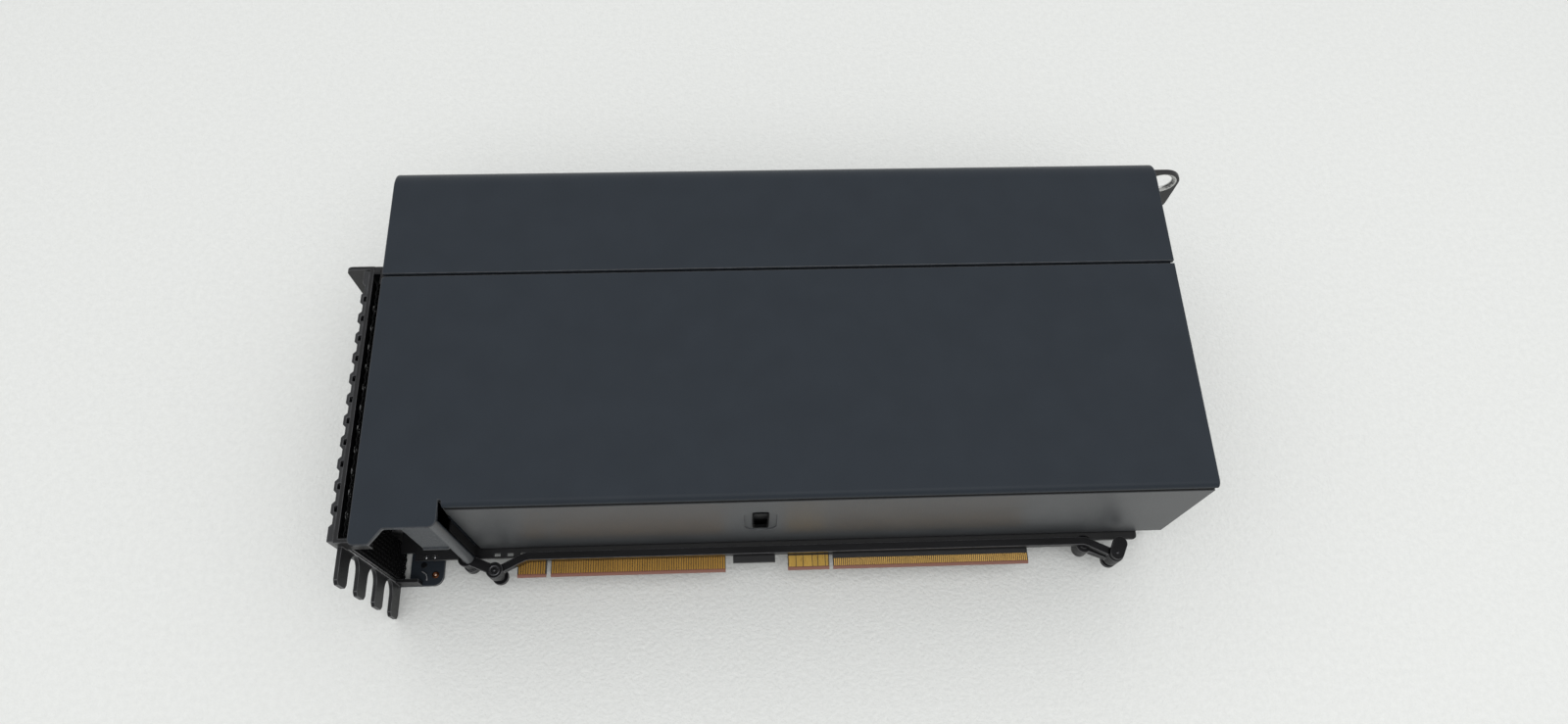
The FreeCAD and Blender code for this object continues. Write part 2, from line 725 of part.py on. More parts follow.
def make_circuit_board():
    """Board outline with the card-edge tongues, key slot, pivot notches and edge slots."""
    x = tongue_x
    key = x + KEY_TO_START
    front_edge_y = edge_y + FRONT_EDGE_SETBACK
    tab_y = edge_y - TAB_DROP
    key_y = tip_y + KEY_DEPTH
    gap_y = tip_y + FINE_GAP_DEPTH
    notch_x = board_rear_x + BOARD_NOTCH_RUN
    notch_y = edge_y + BOARD_NOTCH_DEPTH
    plan = [
        (board_rear_x, notch_y, 0), (notch_x, notch_y, 0), (notch_x, edge_y, 0),
        (x, edge_y, 0), (x, tip_y, 0),
        (key, tip_y, 0), (key, key_y, 0), (key + KEY_WIDTH, key_y, 0), (key + KEY_WIDTH, tip_y, 0),
        (x + X16_LENGTH, tip_y, 0), (x + X16_LENGTH, edge_y, 0),
        (tab_x, edge_y, 0), (tab_x, tab_y, 0),
        (tab_x + TAB_LENGTH, tab_y, 0), (tab_x + TAB_LENGTH, edge_y, 0),
        (power_x, edge_y, 0), (power_x, tip_y, 0),
        (power_x + POWER_LENGTH, tip_y, 0), (power_x + POWER_LENGTH, gap_y, 0),
        (fine_x, gap_y, 0), (fine_x, tip_y, 0), (fine_end_x, tip_y, 0), (fine_end_x, front_edge_y, 0),
        (board_front_x, front_edge_y, BOARD_EDGE_RADIUS), (board_front_x, board_far_y, BOARD_RADIUS),
        (board_rear_x, board_far_y, BOARD_RADIUS),
    ]
    board = outline(plan, at_z(board_z)).extrude(V(0, 0, BOARD_SHEET))
    cuts = [
        upright(COLLAR_RADIUS + PIVOT_CLEARANCE, *rear_pivot, board_z, board_top),
        upright(LINK_END_RADIUS + PIVOT_CLEARANCE, *front_pivot, board_z, board_top),
    ]
    for i in range(WIDE_SLOT_COUNT):
        cuts.append(edge_slot(WIDE_SLOT_START + i * WIDE_SLOT_PITCH, WIDE_SLOT_LENGTH, WIDE_SLOT_WIDTH))
    for i in range(SMALL_SLOT_COUNT):
        cuts.append(edge_slot(SMALL_SLOT_START + i * SMALL_SLOT_PITCH, SMALL_SLOT_LENGTH, SMALL_SLOT_WIDTH))
    for px, py in standoff_places() + brace_screw_places():
        cuts.append(hex_upright(SCREW_RADIUS + SCREW_FIT, px, py, board_z, board_top))
    for start, length in ((x, X16_LENGTH), (power_x, POWER_LENGTH), (fine_x, FINE_LENGTH)):
        for face_z, sign in ((board_z, 1), (board_top, -1)):
            wedge = [
                (tip_y, face_z, 0),
                (tip_y + EDGE_BEVEL, face_z, 0),
                (tip_y, face_z + sign * EDGE_BEVEL_DEPTH, 0),
            ]
            cuts.append(outline(wedge, at_x(start)).extrude(V(length, 0, 0)))
    return board.cut(group(cuts))


def edge_slot(offset, length, width):
    """Small slot through the board just inside its connector edge, offset from the first tongue's start."""
    return slab(tongue_x + offset, edge_y + EDGE_SLOT_SETBACK, length, width, board_z, board_top)


def pad_pair(x, width, length):
    """One contact on each face of a tongue, thinning to nothing at the bevelled tip."""
    y0 = tip_y + EDGE_BEVEL + PAD_SETBACK
    pads = []
    for face_z, root_z in ((board_top, board_top + CONTACT_SHEET), (board_z, board_z - CONTACT_SHEET)):
        profile = [(y0, face_z, 0), (y0 + length, face_z, 0), (y0 + length, root_z, 0)]
        pads.append(outline(profile, at_x(x - width / 2)).extrude(V(width, 0, 0)))
    return pads


def contact_row(start, length, pitch, width, reach):
    count = int((length - width - PAD_MARGIN) // pitch) + 1
    first = start + (length - (count - 1) * pitch) / 2
    pads = []
    for i in range(count):
        pads += pad_pair(first + i * pitch, width, reach)
    return pads


def make_x16_contacts():
    long_start = KEY_TO_START + KEY_WIDTH
    size = (X16_PITCH, X16_PAD_WIDTH, X16_PAD_LENGTH)
    short_row = contact_row(tongue_x, KEY_TO_START, *size)
    return group(short_row + contact_row(tongue_x + long_start, X16_LENGTH - long_start, *size))


def make_fine_contacts():
    return group(contact_row(fine_x, FINE_LENGTH, FINE_PITCH, FINE_PAD_WIDTH, FINE_PAD_LENGTH))


def make_power_contacts():
    gap = (POWER_LENGTH - 2 * PAD_MARGIN - sum(POWER_PADS)) / (len(POWER_PADS) - 1)
    x = power_x + PAD_MARGIN
    pads = []
    for width in POWER_PADS:
        pads += pad_pair(x + width / 2, width, POWER_PAD_LENGTH)
        x += width + gap
    return group(pads)


def slab(x, y, size_x, size_y, z0, z1):
    return box(x - size_x / 2, x + size_x / 2, y - size_y / 2, y + size_y / 2, z0, z1)


def make_gpu():
    die_z = board_top + SUBSTRATE_HEIGHT
    substrate = slab(gpu_x, gpu_y, SUBSTRATE_SIDE, SUBSTRATE_SIDE, board_top, die_z)
    return substrate, slab(gpu_x, gpu_y, DIE_SIDE, DIE_SIDE, die_z, die_top)


def make_memory():
    """Memory chips in a U around the processor, and the pads that join them to the cooler."""
    pad_z = board_top + MEMORY_HEIGHT
    reach = SUBSTRATE_SIDE / 2 + MEMORY_CLEAR
    places = [(gpu_x + side * reach, gpu_y + i * MEMORY_STEP) for side in (-1, 1) for i in (-1, 0, 1)]
    places += [(gpu_x + i * MEMORY_STEP / 2, gpu_y + reach) for i in (-1, 1)]
    chips = [slab(x, y, MEMORY_LENGTH, MEMORY_DEPTH, board_top, pad_z) for x, y in places]
    pads = [slab(x, y, MEMORY_LENGTH, MEMORY_DEPTH, pad_z, die_top) for x, y in places]
    return group(chips), group(pads)


def phase_column(setback, length, depth, height):
    """Column of like parts along the power stage, setback from the front end of the board."""
    x = board_front_x - setback
    first = (edge_y + board_far_y - (PHASE_COUNT - 1) * PHASE_PITCH) / 2
    rows = [first + i * PHASE_PITCH for i in range(PHASE_COUNT)]
    return group([slab(x, y, length, depth, board_top, board_top + height) for y in rows])


def make_power_stage():
    inductors = phase_column(INDUCTOR_SETBACK, INDUCTOR_SIDE, INDUCTOR_SIDE, INDUCTOR_HEIGHT)
    transistors = phase_column(TRANSISTOR_SETBACK, TRANSISTOR_LENGTH, TRANSISTOR_DEPTH, TRANSISTOR_HEIGHT)
    capacitors = phase_column(CAPACITOR_SETBACK, CAPACITOR_LENGTH, CAPACITOR_DEPTH, CAPACITOR_HEIGHT)
    return inductors, transistors, capacitors


# Cooler


def make_vapour_chamber():
    half = CHAMBER_DEPTH / 2
    plate = box(chamber_rear_x, chamber_front_x, gpu_y - half, gpu_y + half, die_top, fin_z)
    screw_end = die_top + CHAMBER_SHEET / 2
    holes = [hex_upright(SCREW_RADIUS, x, y, die_top, screw_end) for x, y in brace_screw_places()]
    return plate.cut(group(holes))


def make_fin_stack():
    """Comb of thin fins along the air path, on a floor plate between two side plates."""
    inner_start = fin_near_y + FIN_SIDE_SHEET
    inner_end = fin_far_y - FIN_SIDE_SHEET
    count = int((inner_end - inner_start) // FIN_PITCH) - 1
    margin = (inner_end - inner_start - (count - 1) * FIN_PITCH - FIN_SHEET) / 2
    floor_z = fin_z + FIN_FLOOR
    comb = [(fin_near_y, fin_z, 0), (fin_far_y, fin_z, 0), (fin_far_y, fin_top_z, 0)]
    comb += [(inner_end, fin_top_z, 0), (inner_end, floor_z, 0)]
    for i in reversed(range(count)):
        y = inner_start + margin + i * FIN_PITCH
        comb += [(y + FIN_SHEET, floor_z, 0), (y + FIN_SHEET, fin_top_z, 0)]
        comb += [(y, fin_top_z, 0), (y, floor_z, 0)]
    comb += [(inner_start, floor_z, 0), (inner_start, fin_top_z, 0), (fin_near_y, fin_top_z, 0)]
    x0 = rear_x + FIN_REAR_INSET
    x1 = front_x - FIN_FRONT_INSET
    return outline(comb, at_x(x0)).extrude(V(x1 - x0, 0, 0))


def brace_screw_places():
    reach = (BRACE_SPAN - BRACE_FRAME) / 2
    return [(gpu_x + i * reach, gpu_y + j * reach) for i in (-1, 1) for j in (-1, 1)]


def make_processor_brace():
    """Square frame under the processor that its four screws pull on."""
    low_z = board_z - BRACE_SHEET
    frame = slab(gpu_x, gpu_y, BRACE_SPAN, BRACE_SPAN, low_z, board_z)
    inner = BRACE_SPAN - 2 * BRACE_FRAME
    cuts = [slab(gpu_x, gpu_y, inner, inner, low_z, board_z)]
    cuts += [hex_upright(SCREW_RADIUS + SCREW_FIT, x, y, low_z, board_z) for x, y in brace_screw_places()]
    return frame.cut(group(cuts))


def hex_screw(x, y, seat_z, end_z):
    """Screw with its head on seat_z and its shank running to end_z."""
    up = 1 if end_z > seat_z else -1
    head_low = min(seat_z, seat_z - up * SCREW_HEAD_HEIGHT)
    head = hex_upright(SCREW_HEAD_RADIUS, x, y, head_low, head_low + SCREW_HEAD_HEIGHT)
    shank = hex_upright(SCREW_RADIUS, x, y, min(seat_z, end_z), max(seat_z, end_z))
    return head.fuse(shank).removeSplitter()


def make_brace_screws():
    seat = board_z - BRACE_SHEET
    end = die_top + CHAMBER_SHEET / 2
    return group([hex_screw(x, y, seat, end) for x, y in brace_screw_places()])


# Standoffs


def standoff_places():
    """A row of posts along the near wall, and one at each end short of the seam strip."""
    x0 = board_rear_x + STANDOFF_EDGE_INSET
    x1 = board_front_x - STANDOFF_EDGE_INSET
    step = (x1 - x0) / (STANDOFF_COUNT_X - 1)
    y0 = tray_y + COVER_SHEET + STANDOFF_WALL_GAP + STANDOFF_RADIUS
    y1 = seam_y - SEAM_STRIP_WIDTH / 2 - STANDOFF_RADIUS
    return [(x0 + i * step, y0) for i in range(STANDOFF_COUNT_X)] + [(x0, y1), (x1, y1)]


def make_standoffs():
    """Posts welded on the bottom sheet, each with a blind hole for a board screw."""
    posts = []
    for x, y in standoff_places():
        post = hex_upright(STANDOFF_RADIUS, x, y, COVER_SHEET, board_z)
        posts.append(post.cut(hex_upright(SCREW_RADIUS + SCREW_FIT, x, y, board_z - SCREW_LENGTH, board_z)))
    return group(posts)


def make_board_screws():
    end = board_z - SCREW_LENGTH + SCREW_FIT
    return group([hex_screw(x, y, board_top, end) for x, y in standoff_places()])


# Front ear


def ear_screw_places():
    x = front_x - FIN_FRONT_INSET - EAR_SCREW_INSET
    low_z = top_z - EAR_TOP_DROP - EAR_HEIGHT + EAR_SCREW_INSET
    return [(x, low_z), (x - EAR_SCREW_INSET, low_z)]


def make_front_ear():
    """Plate beside the cooler with a ring that stands out of the front end."""
    high_z = top_z - EAR_TOP_DROP
    low_z = high_z - EAR_HEIGHT
    out_x = front_x + EAR_OUT
    in_x = front_x - EAR_INNER_LENGTH
    step_x = front_x + EAR_STEP_GAP
    inner_high_z = top_z - OUTBOARD_RADIUS
    face = [
        (in_x, low_z, 0),
        (out_x, low_z, EAR_RADIUS),
        (out_x, high_z, EAR_RADIUS),
        (step_x, high_z, 0),
        (step_x, inner_high_z, 0),
        (in_x, inner_high_z, 0),
    ]
    plate = outline(face, at_y(fin_far_y)).extrude(V(0, EAR_SHEET, 0))
    centre = V(out_x - EAR_RADIUS, fin_far_y, high_z - EAR_RADIUS)
    toward = V(0, 1, 0)
    hole = Part.makeCylinder(EAR_HOLE_RADIUS, EAR_SHEET, centre, toward)
    bevel = Part.makeCone(EAR_BEVEL_RADIUS, EAR_HOLE_RADIUS, EAR_BEVEL_DEPTH, centre, toward)
    cuts = [hole, bevel]
    for place in ear_screw_places():
        cuts.append(hexagon(SCREW_RADIUS + SCREW_FIT, place, at_y(fin_far_y)).extrude(V(0, EAR_SHEET, 0)))
    return plate.cut(group(cuts))


def make_ear_screws():
    seat_y = fin_far_y + EAR_SHEET
    screws = []
    for place in ear_screw_places():
        head = hexagon(SCREW_HEAD_RADIUS, place, at_y(seat_y)).extrude(V(0, SCREW_HEAD_HEIGHT, 0))
        shank = hexagon(SCREW_RADIUS, place, at_y(fin_far_y)).extrude(V(0, EAR_SHEET, 0))
        screws.append(head.fuse(shank).removeSplitter())
    return group(screws)


# Ejector linkage


def headed_post(place, sections):
    """Riveted post: a round head under it, then (radius, top height) sections from the head up."""
    solids = []
    low_z = ear_low_z
    for radius, high_z in sections:
        solids.append(upright(radius, *place, low_z, high_z))
        low_z = high_z
    return upright(PIN_HEAD_RADIUS, *place, head_low_z, ear_low_z).multiFuse(solids).removeSplitter()


def make_edge_rail():
    """Rail under the board edge, with an ear and a riveted post for each fixed pivot."""
    y0 = edge_y + RAIL_EDGE_GAP
    x0 = rear_pivot[0] - RAIL_END
    x1 = front_pivot[0] + RAIL_END
    rail = box(x0, x1, y0, y0 + RAIL_WIDTH, ear_low_z, board_z)
    ears = []
    for x, y in (rear_pivot, front_pivot):
        root = box(x - PIN_HEAD_RADIUS, x + PIN_HEAD_RADIUS, y, y0, ear_low_z, ear_top_z)
        ears += [root, upright(PIN_HEAD_RADIUS, x, y, head_low_z, ear_top_z)]
    rear_post = headed_post(rear_pivot, [(COLLAR_RADIUS, bar_high_z), (PIN_RADIUS, post_foot_z)])
    front_post = headed_post(front_pivot, [(PIN_RADIUS, front_link_top)])
    return rail.multiFuse(ears + [rear_post, front_post]).removeSplitter()


def bored_link(pivot, joint, z0, z1):
    """Arm with a bored boss at its pivot and at its joint."""
    link = rounded_bar(pivot, joint, LINK_END_RADIUS, LINK_END_RADIUS, LINK_WIDTH, z0, z1)
    return link.cut(group([upright(PIN_RADIUS + PIN_FIT, *place, z0, z1) for place in (pivot, joint)]))


def make_rear_link():
    """Flat link on top of the bar's rear end."""
    return bored_link(rear_pivot, rear_joint, rear_link_z, rear_link_top)


def make_front_link():
    """Deep link under the bar's front end, level with the board."""
    return bored_link(front_pivot, front_joint, front_link_z, front_link_top)


def make_eject_bar():
    """Cranked bar between the links: straight along the board edge, stepped out to a pin at each end."""
    half = BAR_WIDTH / 2
    rx, ry = rear_joint
    fx, fy = front_joint
    high_y = ry + BAR_OFFSET
    knee_rear = rx + BAR_KNEE_RUN
    knee_front = fx - BAR_KNEE_RUN
    slope = math.atan2(BAR_OFFSET, BAR_KNEE_RUN)
    across = half / math.cos(slope)
    shift = half * math.tan(slope / 2)
    plan = [
        (rx, ry - across, 0),
        (knee_rear + shift, high_y - half, BAR_KNEE_RADIUS),
        (knee_front - shift, high_y - half, BAR_KNEE_RADIUS),
        (fx, fy - across, 0),
        (fx, fy + across, 0),
        (knee_front + shift, high_y + half, BAR_KNEE_RADIUS),
        (knee_rear - shift, high_y + half, BAR_KNEE_RADIUS),
        (rx, ry + across, 0),
    ]
    bar = outline(plan, at_z(bar_low_z)).extrude(V(0, 0, BAR_HEIGHT))
    bosses = [upright(LINK_END_RADIUS, *place, bar_low_z, bar_high_z) for place in (rear_joint, front_joint)]
    rear_pin = headed_post(rear_joint, [(PIN_RADIUS, rear_link_top)])
    front_pin = headed_post(front_joint, [(PIN_RADIUS, bar_low_z)])
    return bar.multiFuse(bosses + [rear_pin, front_pin]).removeSplitter()


def make_drive_lug():
    """Short lug pinned on the bar's front end."""
    turn = math.radians(LUG_ANGLE)
    far = (front_joint[0] + LUG_RUN * math.cos(turn), front_joint[1] + LUG_RUN * math.sin(turn))
    lug_top = bar_high_z + LUG_SHEET
    return rounded_bar(front_joint, far, LUG_RADIUS, LUG_RADIUS, 2 * LUG_RADIUS, bar_high_z, lug_top)


def main():
    os.makedirs("parts", exist_ok=True)
    save("main_cover", make_main_cover())
    save("outboard_cover", make_outboard_cover())
    save("bottom_cover", make_bottom_cover())
    save("side_wall", make_side_wall())
    top_strip, low_strip = make_seam_strips()
    save("top_seam_strip", top_strip)
    save("bottom_seam_strip", low_strip)

    save("io_bracket", make_io_bracket())
    save("vent_lattice", make_vent_lattice())
    data_ports, video_port, tongues = make_ports()
    save("data_ports", data_ports)
    save("video_port", video_port)
    save("port_tongues", tongues)

    save("circuit_board", make_circuit_board())
    save("x16_contacts", make_x16_contacts())
    save("power_contacts", make_power_contacts())
    save("fine_contacts", make_fine_contacts())
    substrate, die = make_gpu()
    save("processor_substrate", substrate)
    save("processor_die", die)
    chips, pads = make_memory()
    save("memory_chips", chips)
    save("memory_pads", pads)
    inductors, transistors, capacitors = make_power_stage()
    save("inductors", inductors)
    save("power_transistors", transistors)
    save("capacitors", capacitors)

    save("vapour_chamber", make_vapour_chamber())
    save("fin_stack", make_fin_stack())
    save("processor_brace", make_processor_brace())
    save("brace_screws", make_brace_screws())
    save("standoffs", make_standoffs())
    save("board_screws", make_board_screws())
    save("front_ear", make_front_ear())
    save("ear_screws", make_ear_screws())

    save("edge_rail", make_edge_rail())
    save("rear_link", make_rear_link())
    save("front_link", make_front_link())
    save("eject_bar", make_eject_bar())
    save("drive_lug", make_drive_lug())


main()
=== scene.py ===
"""Finishes, small trim and stage of a graphics card module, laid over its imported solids."""
import json
import math

import bmesh
import bpy
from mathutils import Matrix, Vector


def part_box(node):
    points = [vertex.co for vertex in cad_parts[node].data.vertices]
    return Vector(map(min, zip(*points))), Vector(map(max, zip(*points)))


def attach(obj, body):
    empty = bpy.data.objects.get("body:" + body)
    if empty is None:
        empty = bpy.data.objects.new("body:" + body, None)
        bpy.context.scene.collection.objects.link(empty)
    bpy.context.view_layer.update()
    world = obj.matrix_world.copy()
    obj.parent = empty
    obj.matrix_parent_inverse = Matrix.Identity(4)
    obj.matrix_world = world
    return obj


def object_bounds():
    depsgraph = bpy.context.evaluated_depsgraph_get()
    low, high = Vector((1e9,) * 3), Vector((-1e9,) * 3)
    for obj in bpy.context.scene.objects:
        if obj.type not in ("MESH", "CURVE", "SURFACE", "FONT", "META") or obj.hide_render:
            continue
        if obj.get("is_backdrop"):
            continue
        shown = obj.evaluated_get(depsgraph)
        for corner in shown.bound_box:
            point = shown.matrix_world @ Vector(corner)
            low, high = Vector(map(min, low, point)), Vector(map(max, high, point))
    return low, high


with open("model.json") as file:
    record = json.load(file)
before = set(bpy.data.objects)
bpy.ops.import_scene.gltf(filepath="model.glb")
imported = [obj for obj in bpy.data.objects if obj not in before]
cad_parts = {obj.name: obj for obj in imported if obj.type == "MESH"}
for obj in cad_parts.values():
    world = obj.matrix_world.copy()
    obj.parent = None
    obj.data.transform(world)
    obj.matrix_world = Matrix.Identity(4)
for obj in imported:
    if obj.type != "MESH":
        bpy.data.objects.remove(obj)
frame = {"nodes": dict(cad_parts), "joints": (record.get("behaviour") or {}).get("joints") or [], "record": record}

bl_info = {
    "name": "Graphics Card Module",
    "version": (1, 0, 0),
    "blender": (4, 5, 0),
    "location": "3D View > Sidebar > Card Module",
    "description": "Dresses the packed graphics card module: shells, bracket, connectors, linkage and stage",
    "category": "Object",
}

CAD_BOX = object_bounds()
MM = 0.001
BODY = "module"
BAR = "eject_bar"


# Places in millimetres, taken from the frame


def low(node):
    """The lowest corner of a node, in millimetres."""
    return Vector(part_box(node)[0]) / MM


def high(node):
    """The highest corner of a node, in millimetres."""
    return Vector(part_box(node)[1]) / MM


def pivot(joint):
    """The place of a joint's axis, in millimetres."""
    found = [row for row in frame["joints"] if row["name"] == joint]
    return Vector(found[0]["pos_m"]) / MM


def mount(name):
    """The place of a mount, in millimetres."""
    found = [row for row in frame["record"]["mounts"] if row["name"] == name]
    return Vector(found[0]["pos_m"]) / MM


REAR_JOINT = pivot("bar_swing")
FRONT_JOINT = pivot("front_swing") + REAR_JOINT - pivot("rear_swing")
FOOT_Y = low("bottom_cover").y
BRACKET_INNER_X = low("bottom_cover").x
BOARD_TOP_Z = low("memory_chips").z
BOARD_TIP_Y = low("circuit_board").y
WALL_Y = low("side_wall").y
COVER_TOP_Z = high("main_cover").z
EAR_HOLE = mount("front_ear_hole")

# Places and sizes of the solids that the frame doesn't list, in millimetres
PLATE_TOP_Z = 2.0
CORNER_X = low("side_wall").x - 0.8
WINDOW_X = -11.5
WINDOW_Z = 49.3
WINDOW_WIDTH = 6.3
WINDOW_HEIGHT = 20.7
EAR_BEVEL_INSIDE = 4.7
EAR_BEVEL_OUTSIDE = 6.75

# How edges are broken and shaded
WELD_GAP = 0.01 * MM
FLAT_ANGLE = math.radians(0.5)
EDGE_ANGLE = math.radians(35)
SHADE_ANGLE = math.radians(50)
EDGE_STEPS = 2
TURN_SIDES = 40

# Sockets of a Mix node that is set to colours
FACTOR = 0
FIRST = 6
SECOND = 7
BLEND = 2


# Shared helpers


def linear(hex_colour):
    """An sRGB hex value such as #35393F as linear red, green, blue and alpha."""
    channels = [int(hex_colour[i:i + 2], 16) / 255 for i in (1, 3, 5)]
    return [c / 12.92 if c <= 0.04045 else ((c + 0.055) / 1.055) ** 2.4 for c in channels] + [1.0]


def shade(colour, factor):
    """The same linear colour, lighter or darker."""
    return [c * factor for c in colour[:3]] + [1.0]


def per_mm(size):
    """The texture scale at which a pattern's features are this many millimetres wide."""
    return 1 / (size * MM)


def add(tree, kind, inputs=None, **settings):
    """Adds one node with its settings, and sets or links its inputs."""
    node = tree.nodes.new(kind)
    for key, value in settings.items():
        setattr(node, key, value)
    for key, value in (inputs or {}).items():
        if isinstance(value, bpy.types.NodeSocket):
            tree.links.new(value, node.inputs[key])
        else:
            node.inputs[key].default_value = value
    return node


def new_material(name):
    """A node material, its tree, its shader and the socket that gives places in the frame."""
    material = bpy.data.materials.new(name)
    material.use_nodes = True
    tree = material.node_tree
    place = add(tree, "ShaderNodeTexCoord").outputs["Object"]
    return material, tree, tree.nodes["Principled BSDF"], place


def surface(tree, shader, place, colours, patch, grit, height, roughness):
    """Cloudy drift between two colours over patches, and grit that roughens and lifts the surface.

    The widths of patch and grit and the grit's height are in millimetres. With no height, nothing is lifted.
    The socket of the colour comes back, for what is painted over it.
    """
    # noise keeps close to its middle, so a part of its range is spread over the whole
    cloud = add(tree, "ShaderNodeTexNoise", {"Vector": place, "Scale": per_mm(patch), "Detail": 4.0})
    spread = add(tree, "ShaderNodeMapRange", {"Value": cloud.outputs[0], "From Min": 0.35, "From Max": 0.65})
    mix = add(tree, "ShaderNodeMix", {FACTOR: spread.outputs[0], FIRST: colours[0], SECOND: colours[1]},
              data_type="RGBA")
    grain = add(tree, "ShaderNodeTexNoise", {"Vector": place, "Scale": per_mm(grit), "Detail": 2.0})
    rough = add(tree, "ShaderNodeMapRange", {
        "Value": grain.outputs[0], "From Min": 0.3, "From Max": 0.7,
        "To Min": roughness[0], "To Max": roughness[1],
    })
    tree.links.new(mix.outputs[BLEND], shader.inputs["Base Color"])
    tree.links.new(rough.outputs[0], shader.inputs["Roughness"])
    if height:
        bump = add(tree, "ShaderNodeBump", {"Height": grain.outputs[0], "Distance": height * MM})
        tree.links.new(bump.outputs[0], shader.inputs["Normal"])
    return mix.outputs[BLEND]


def band(tree, value, start, end, blur):
    """A mask that is 1 where value lies between start and end, all in millimetres."""
    rise = add(tree, "ShaderNodeMapRange", {
        "Value": value, "From Min": (start - blur) * MM, "From Max": (start + blur) * MM,
    })
    fall = add(tree, "ShaderNodeMapRange", {
        "Value": value, "From Min": (end - blur) * MM, "From Max": (end + blur) * MM,
        "To Min": 1.0, "To Max": 0.0,
    })
    both = add(tree, "ShaderNodeMath", {0: rise.outputs[0], 1: fall.outputs[0]}, operation="MULTIPLY")
    return both.outputs[0]


def dress(names, *materials):
    """Gives a material to each CAD node that is named, and where there is a second, that one to its edges."""
    for name in names:
        mesh = frame["nodes"][name].data
        mesh.materials.clear()
        for material in materials:
            mesh.materials.append(material)


def smoothing():
    """The node group that shades every face smooth apart from sharp edges."""
    name = "Smooth by angle"
    if name in bpy.data.node_groups:
        return bpy.data.node_groups[name]
    tree = bpy.data.node_groups.new(name, "GeometryNodeTree")
    tree.interface.new_socket("Geometry", in_out="INPUT", socket_type="NodeSocketGeometry")
    tree.interface.new_socket("Geometry", in_out="OUTPUT", socket_type="NodeSocketGeometry")
    source = add(tree, "NodeGroupInput")
    plain = add(tree, "GeometryNodeRemoveAttribute", {"Geometry": source.outputs[0], "Name": "custom_normal"})
    faces = add(tree, "GeometryNodeSetShadeSmooth", {"Geometry": plain.outputs[0], "Shade Smooth": True})
    angle = add(tree, "GeometryNodeInputMeshEdgeAngle")
    gentle = add(tree, "FunctionNodeCompare", {0: angle.outputs[0], 1: SHADE_ANGLE}, operation="LESS_THAN")
    edges = add(tree, "GeometryNodeSetShadeSmooth", {
        "Geometry": faces.outputs[0], "Shade Smooth": gentle.outputs[0],
    }, domain="EDGE")
    add(tree, "NodeGroupOutput", {0: edges.outputs[0]})
    return tree


def soften(names, radius, clamp=False):
    """Breaks the sharp edges of CAD nodes by a radius in metres, on top of their meshes."""
    for name in names:
        obj = frame["nodes"][name]
        weld = obj.modifiers.new("Join faces", "WELD")
        weld.merge_threshold = WELD_GAP
        flat = obj.modifiers.new("Merge flats", "DECIMATE")
        flat.decimate_type = "DISSOLVE"
        flat.angle_limit = FLAT_ANGLE
        if radius > 0:
            bevel = obj.modifiers.new("Break edges", "BEVEL")
            bevel.width = radius
            bevel.segments = EDGE_STEPS
            bevel.limit_method = "ANGLE"
            bevel.angle_limit = EDGE_ANGLE
            bevel.loop_slide = False
            bevel.use_clamp_overlap = clamp
            bevel.material = len(obj.data.materials) - 1
        obj.modifiers.new("Shade", "NODES").node_group = smoothing()
        weigh = obj.modifiers.new("Weigh normals", "WEIGHTED_NORMAL")
        weigh.keep_sharp = True


def new_piece(name, mesh, material, body):
    """Puts a mesh in the scene as a piece that rides on a body."""
    obj = bpy.data.objects.new(name, mesh)
    bpy.context.scene.collection.objects.link(obj)
    mesh.materials.append(material)
    obj.modifiers.new("Shade", "NODES").node_group = smoothing()
    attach(obj, body)


def new_mesh(name, shape):
    """Turns what was built in a bmesh into a mesh."""
    mesh = bpy.data.meshes.new(name)
    shape.to_mesh(mesh)
    shape.free()
    return mesh


def turned(mesh_name, jobs):
    """A mesh of turned pieces: each job is a place in mm and a closed or axis-to-axis profile of (r, z)."""
    shape = bmesh.new()
    for place, profile in jobs:
        rings = []
        for radius, z in profile:
            count = TURN_SIDES if radius > 0 else 1
            ring = []
            for i in range(count):
                turn = 2 * math.pi * i / count
                corner = Vector((radius * math.cos(turn), radius * math.sin(turn), z)) + place
                ring.append(shape.verts.new(corner * MM))
            rings.append(ring)
        closed = profile[0][0] > 0 and profile[-1][0] > 0
        pairs = list(zip(rings, rings[1:]))
        if closed:
            pairs.append((rings[-1], rings[0]))
        for first, second in pairs:
            for i in range(TURN_SIDES):
                corners = [first[i % len(first)], first[(i + 1) % len(first)],
                           second[(i + 1) % len(second)], second[i % len(second)]]
                shape.faces.new(list(dict.fromkeys(corners)))
    bmesh.ops.recalc_face_normals(shape, faces=shape.faces)
    return new_mesh(mesh_name, shape)


def prisms(mesh_name, jobs, break_edge):
    """A mesh of prisms with broken edges: each job is an outline of places and a sweep, all in mm."""
    shape = bmesh.new()
    for outline, sweep in jobs:
        near = [shape.verts.new(Vector(p) * MM) for p in outline]
        far = [shape.verts.new((Vector(p) + Vector(sweep)) * MM) for p in outline]
        shape.faces.new(near)
        shape.faces.new(far)
        for i in range(len(near)):
            j = (i + 1) % len(near)
            shape.faces.new([near[i], near[j], far[j], far[i]])
    bmesh.ops.recalc_face_normals(shape, faces=shape.faces)
    sharp = [e for e in shape.edges if e.calc_face_angle(0) > EDGE_ANGLE]
    bmesh.ops.bevel(shape, geom=sharp, offset=break_edge * MM, segments=EDGE_STEPS, profile=0.5,
                    affect="EDGES")
    return new_mesh(mesh_name, shape)


# Finishes


